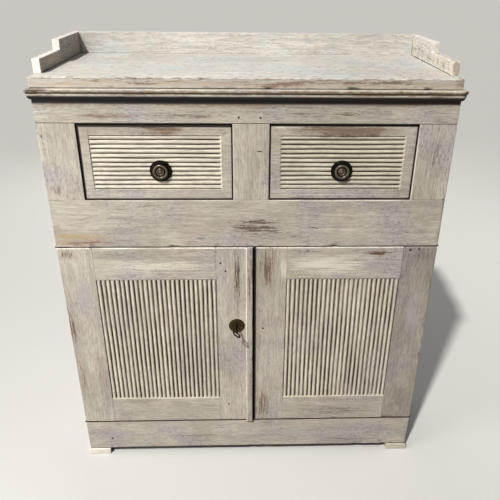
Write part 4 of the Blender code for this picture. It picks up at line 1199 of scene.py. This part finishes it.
def make_door(side, seed):
    """Stiles, rails and panel of a door. The hinge stile's rear edge is rounded about the pivot."""
    sign = SIDES[side]
    prefix = f"{side}_door"
    node = f"{prefix}_hinge_stile"
    low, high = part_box(node)
    sweep = high.y - low.y - PIVOT_BACK
    last = math.acos(-PIVOT_IN / sweep)
    corners = [(0.0, 0.0), (high.x - low.x, 0.0), (high.x - low.x, high.y - low.y)]
    for step in range(PIVOT_ARC_STEPS + 1):
        angle = math.pi / 2 + (last - math.pi / 2) * step / PIVOT_ARC_STEPS
        corners.append((PIVOT_IN + sweep * math.cos(angle), PIVOT_BACK + sweep * math.sin(angle)))
    corners = [(sign * (HALF_W - inward), low.y + back) for inward, back in corners]
    outline = rounded(corners, EDGE_R, (1,))
    # The right hinge stile takes the darker paint, partly greyer paint and partly painted shade where less
    # light falls
    tones = BODY_TONES if side == "left" else DULL_AND_SHADED_TONES
    outlined(node, outline, "Z", coat(node, "Z", tones, wear=0.02), PINES["Z"], wear=1.3, bare=("+Y",))

    node = f"{prefix}_meeting_stile"
    low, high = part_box(node)
    panel_side = "-X" if side == "left" else "+X"
    mesh = board_mesh(low, high, "Z", wear=1.0, bare=("+Y",), joints=(panel_side,))
    if side == "left":
        mesh = cut_out(mesh, *keyhole_tools(low.y - OVERCUT, high.y + OVERCUT))
    stand_in(node, mesh, coat(node, "Z"), PINES["Z"])
    hinge_low, hinge_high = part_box(f"{prefix}_hinge_stile")
    ends = sorted((hinge_low.x, hinge_high.x, low.x, high.x))
    span = {"low_x": ends[1] + JOINT_GAP, "high_x": ends[2] - JOINT_GAP}
    for row, panel_side in (("top", "-Z"), ("bottom", "+Z")):
        joints = ("-X", "+X", panel_side)
        rail = f"{prefix}_{row}_rail"
        painted_board(rail, "X", wear=0.9, bare=("+Y",), joints=joints, pines=PINES, **span)
    make_panel(side, seed, **span)


def make_strip():
    """A flat bar with rounded arrises."""
    node = "meeting_strip"
    low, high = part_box(node)
    corners = ((low.x, low.y), (high.x, low.y), (high.x, high.y), (low.x, high.y))
    outlined(node, rounded(corners, STRIP_R, (2, 3)), "Z", coat(node, "Z"), wear=0.9)


def key_centre():
    """The key's axis, as X and Z."""
    low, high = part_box("escutcheon")
    return (low.x + high.x) / 2, (low.z + high.z) / 2


def keyhole_tools(front, back):
    """What is cut away for the key: a round hole and a slot below it."""
    x, z = key_centre()
    radius = KEY_SHANK_R + KEYHOLE_CLEAR
    hole = rod_mesh(Vector((x, front, z)), Vector((x, back, z)), radius)
    half = KEYHOLE_SLOT_W / 2
    slot = box_mesh((x - half, front, z - BIT_R - KEYHOLE_CLEAR), (x + half, back, z))
    return hole, slot


def circle(count):
    """Cosine and sine at even steps round a circle."""
    angles = [2 * math.pi * step / count for step in range(count)]
    return [(math.cos(angle), math.sin(angle)) for angle in angles]


def lathe(profile, place, beads=None, closed=False):
    """A profile of (radius, reach) turned about an axis that points out of the front."""
    bm = bmesh.new()
    rings = []
    for radius, reach in profile:
        if radius == 0.0:
            rings.append([bm.verts.new((place.x, place.y - reach, place.z))])
            continue
        around = [(place.x + radius * x, place.z + radius * z) for x, z in circle(TURN_STEPS)]
        rings.append([bm.verts.new((x, place.y - reach, z)) for x, z in around])
    pairs = list(zip(rings, rings[1:]))
    if closed:
        pairs.append((rings[-1], rings[0]))
    for ring, other in pairs:
        for step in range(TURN_STEPS):
            after = (step + 1) % TURN_STEPS
            corners = [ring[step % len(ring)], ring[after % len(ring)]]
            corners += [other[after % len(other)], other[step % len(other)]]
            bm.faces.new(list(dict.fromkeys(corners))).smooth = True
    if beads:
        count, distance, radius, reach = beads
        for x, z in circle(count):
            at = Matrix.Translation((place.x + distance * x, place.y - reach, place.z + distance * z))
            made = bmesh.ops.create_icosphere(bm, subdivisions=2, radius=radius, matrix=at)
            for vert in made["verts"]:
                for face in vert.link_faces:
                    face.smooth = True
    mesh = mesh_of(bm, "turned")
    mesh.set_sharp_from_angle(angle=TURN_SHARP)
    return mesh


def make_knob(side):
    low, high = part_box(f"{side}_drawer_rosette")
    radius = (high.x - low.x) / 2
    thick = high.y - low.y
    place = Vector(((low.x + high.x) / 2, high.y, (low.z + high.z) / 2))
    hole = STEM_R + STEM_CLEAR
    profile = [(hole, KNOB_SEAT * thick)]
    profile += [(out * radius, up * thick) for out, up in ROSETTE]
    profile.append((hole, 0.0))
    beads = (BEAD_COUNT, BEAD_AT * radius, BEAD_R * radius, BEAD_UP * thick)
    mesh = lathe(profile, place, beads, closed=True)
    material = metal(f"bronze_{side}_rosette", PLATE_BRONZE, roughness=0.34)
    stand_in(f"{side}_drawer_rosette", mesh, material)

    low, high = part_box(f"{side}_drawer_knob")
    knob_r = (high.x - low.x) / 2
    seat = KNOB_SEAT * thick + JOINT_GAP
    rise = place.y - low.y - seat
    profile = [(out * knob_r, seat + up * rise) for out, up in KNOB]
    profile += [(STEM_R, seat), (STEM_R, place.y - high.y), (0.0, place.y - high.y)]
    worn = [low.y + share * rise for share in KNOB_RUBBED]
    material = metal(f"bronze_{side}_knob", KNOB_BRONZE, roughness=0.2, raised=worn, metallic=0.4)
    stand_in(f"{side}_drawer_knob", lathe(profile, place), material)


def make_escutcheon():
    low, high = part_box("escutcheon")
    radius = (high.x - low.x) / 2
    thick = (high.y - low.y) / max(up for _, up in ESCUTCHEON)
    x, z = key_centre()
    profile = [(out * radius, up * thick) for out, up in ESCUTCHEON] + [(0.0, 0.0)]
    mesh = lathe(profile, Vector((x, high.y, z)))
    mesh = cut_out(mesh, *keyhole_tools(low.y - OVERCUT, high.y + OVERCUT))
    material = metal("brass_escutcheon", OLIVE_BRASS, roughness=0.42, raised=(high.y, low.y))
    stand_in("escutcheon", mesh, material)


def make_key():
    """Shank, oval bow and bit run together as one forged piece."""
    low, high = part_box("key")
    x, z = key_centre()
    turn = Matrix.Translation((x, 0.0, z)) @ Matrix.Rotation(KEY_TILT, 4, "Y")
    bow_y = low.y + BOW_L / 2
    bm = bmesh.new()
    shank_start = bow_y + BOW_L / 2 - BOW_WIRE_R
    bm.from_mesh(rod_mesh(Vector((0.0, shank_start, 0.0)), Vector((0.0, high.y, 0.0)), KEY_SHANK_R))
    bit_y = high.y - BIT_FROM_BACK
    bm.from_mesh(box_mesh((0.0, bit_y - BIT_L / 2, -BIT_T / 2), (BIT_R, bit_y + BIT_L / 2, BIT_T / 2)))
    wide = BOW_W / 2 - BOW_WIRE_R
    long = BOW_L / 2 - BOW_WIRE_R
    rings = []
    for over, along in circle(BOW_STEPS):
        centre = Vector((wide * over, bow_y + long * along, 0.0))
        away = Vector((over / BOW_W, along / BOW_L, 0.0)).normalized()
        offsets = [away * out + Vector((0.0, 0.0, up)) for out, up in circle(BOW_SIDES)]
        rings.append([bm.verts.new(centre + offset * BOW_WIRE_R) for offset in offsets])
    for ring, other in zip(rings, rings[1:] + rings[:1]):
        for step in range(BOW_SIDES):
            after = (step + 1) % BOW_SIDES
            bm.faces.new((ring[step], ring[after], other[after], other[step]))
    mesh = evaluated(
        mesh_of(bm, "key"),
        ("REMESH", {"mode": "VOXEL", "voxel_size": KEY_VOXEL, "use_smooth_shade": True}),
        ("SMOOTH", {"factor": 0.5, "iterations": 3}),
    )
    mesh.transform(turn)
    stand_in("key", mesh, metal("iron_key", IRON, roughness=0.40))


def softened(node, material):
    """The node's own mesh with small bevels."""
    bm = bmesh.new()
    bm.from_mesh(frame["nodes"][node].data)
    bmesh.ops.remove_doubles(bm, verts=bm.verts, dist=1e-6)
    bmesh.ops.dissolve_limit(bm, angle_limit=0.01, verts=bm.verts, edges=bm.edges)
    sharp = [edge for edge in bm.edges if edge.is_manifold and edge.calc_face_angle(0.0) > TURN_SHARP]
    bmesh.ops.bevel(
        bm, geom=sharp, offset=IRON_R, segments=2, affect="EDGES", profile=0.6, clamp_overlap=True
    )
    stand_in(node, mesh_of(bm, node), material)


def make_ironwork():
    iron = metal("iron", IRON, roughness=0.5)
    pivots = [f"{side}_{row}_pivot" for side in SIDES for row in ("top", "bottom")]
    for node in ("lock_case", "lock_bolt", *pivots):
        softened(node, iron)


def seen_share(nodes, links):
    """1 for rays that show the background to the camera, directly or in metal, and 0 for light."""
    path = nodes.new("ShaderNodeLightPath")
    total = path.outputs["Is Camera Ray"]
    for label in ("Is Glossy Ray", "Is Transmission Ray"):
        either = nodes.new("ShaderNodeMath")
        either.operation = "MAXIMUM"
        links.new(total, either.inputs[0])
        links.new(path.outputs[label], either.inputs[1])
        total = either.outputs[0]
    return total


def make_stage():
    bm = bmesh.new()
    bmesh.ops.create_grid(bm, x_segments=1, y_segments=1, size=FLOOR_SIZE)
    floor = placed("floor", mesh_of(bm, "floor"))
    made = Shader("floor")
    seen = seen_share(made.nodes, made.links)
    made.put(made.surface.inputs["Base Color"], made.mix(seen, FLOOR_BOUNCE, FLOOR_SEEN))
    made.surface.inputs["Roughness"].default_value = 0.9
    floor.data.materials.append(made.material)


def add_lamp(name, place, target, power, size, color=(1.0, 1.0, 1.0)):
    data = bpy.data.lights.new(name, "AREA")
    data.energy = power
    data.shape = "RECTANGLE"
    data.size, data.size_y = size
    data.color = color
    lamp = placed(name, data)
    lamp.location = place
    lamp.visible_camera = False
    lamp.rotation_euler = (Vector(target) - Vector(place)).to_track_quat("-Z", "Y").to_euler()


def make_light():
    """A sun and a tall lamp from the side that the photograph's shadows show, and weak lamps behind."""
    towards = Vector(LIGHT_FROM).normalized()
    data = bpy.data.lights.new("sun", "SUN")
    data.energy = SUN_POWER
    data.angle = SUN_ANGLE
    data.color = WARM_WHITE
    sun = placed("sun", data)
    sun.rotation_euler = towards.to_track_quat("Z", "Y").to_euler()
    add_lamp("key_light", LAMP_AT, LAMP_AIM, LAMP_POWER, LAMP_SIZE, WARM_WHITE)
    for name, (place, power) in REAR_LAMPS.items():
        add_lamp(name, place, REAR_AIM, power, REAR_SIZE)
    world = bpy.data.worlds.new("studio")
    bpy.context.scene.world = world
    world.use_nodes = True
    nodes = world.node_tree.nodes
    links = world.node_tree.links
    light = nodes["Background"]
    light.inputs["Color"].default_value = (1.0, 1.0, 1.0, 1.0)
    light.inputs["Strength"].default_value = WORLD_POWER
    seen = nodes.new("ShaderNodeBackground")
    seen.inputs["Color"].default_value = WORLD_SEEN
    choice = nodes.new("ShaderNodeMixShader")
    links.new(seen_share(nodes, links), choice.inputs[0])
    links.new(light.outputs[0], choice.inputs[1])
    links.new(seen.outputs[0], choice.inputs[2])
    links.new(choice.outputs[0], nodes["World Output"].inputs["Surface"])


def make_camera():
    data = bpy.data.cameras.new("camera")
    data.sensor_width = SENSOR
    data.lens = FOCAL_PX / IMAGE_PX * SENSOR
    data.shift_x = CAMERA_SHIFT_PX / IMAGE_PX
    camera = placed("camera", data)
    matrix = Matrix.Translation(CAMERA_AT)
    for angle, axis in ((CAMERA_YAW, "Z"), (math.pi / 2 - CAMERA_PITCH, "X"), (CAMERA_ROLL, "Z")):
        matrix = matrix @ Matrix.Rotation(angle, 4, axis)
    camera.matrix_world = matrix
    bpy.context.scene.camera = camera


make_frame()
make_carcass()
make_runners()
make_top()
make_cornice()
for side, seed in DRAWER_SEEDS.items():
    make_drawer(side, seed)
for side, seed in DOOR_SEEDS.items():
    make_door(side, seed)
make_strip()
for side in SIDES:
    make_knob(side)
make_escutcheon()
make_key()
make_ironwork()
make_stage()
make_light()
make_camera()
bpy.context.scene.view_settings.view_transform = "Standard"

bpy.context.view_layer.update()
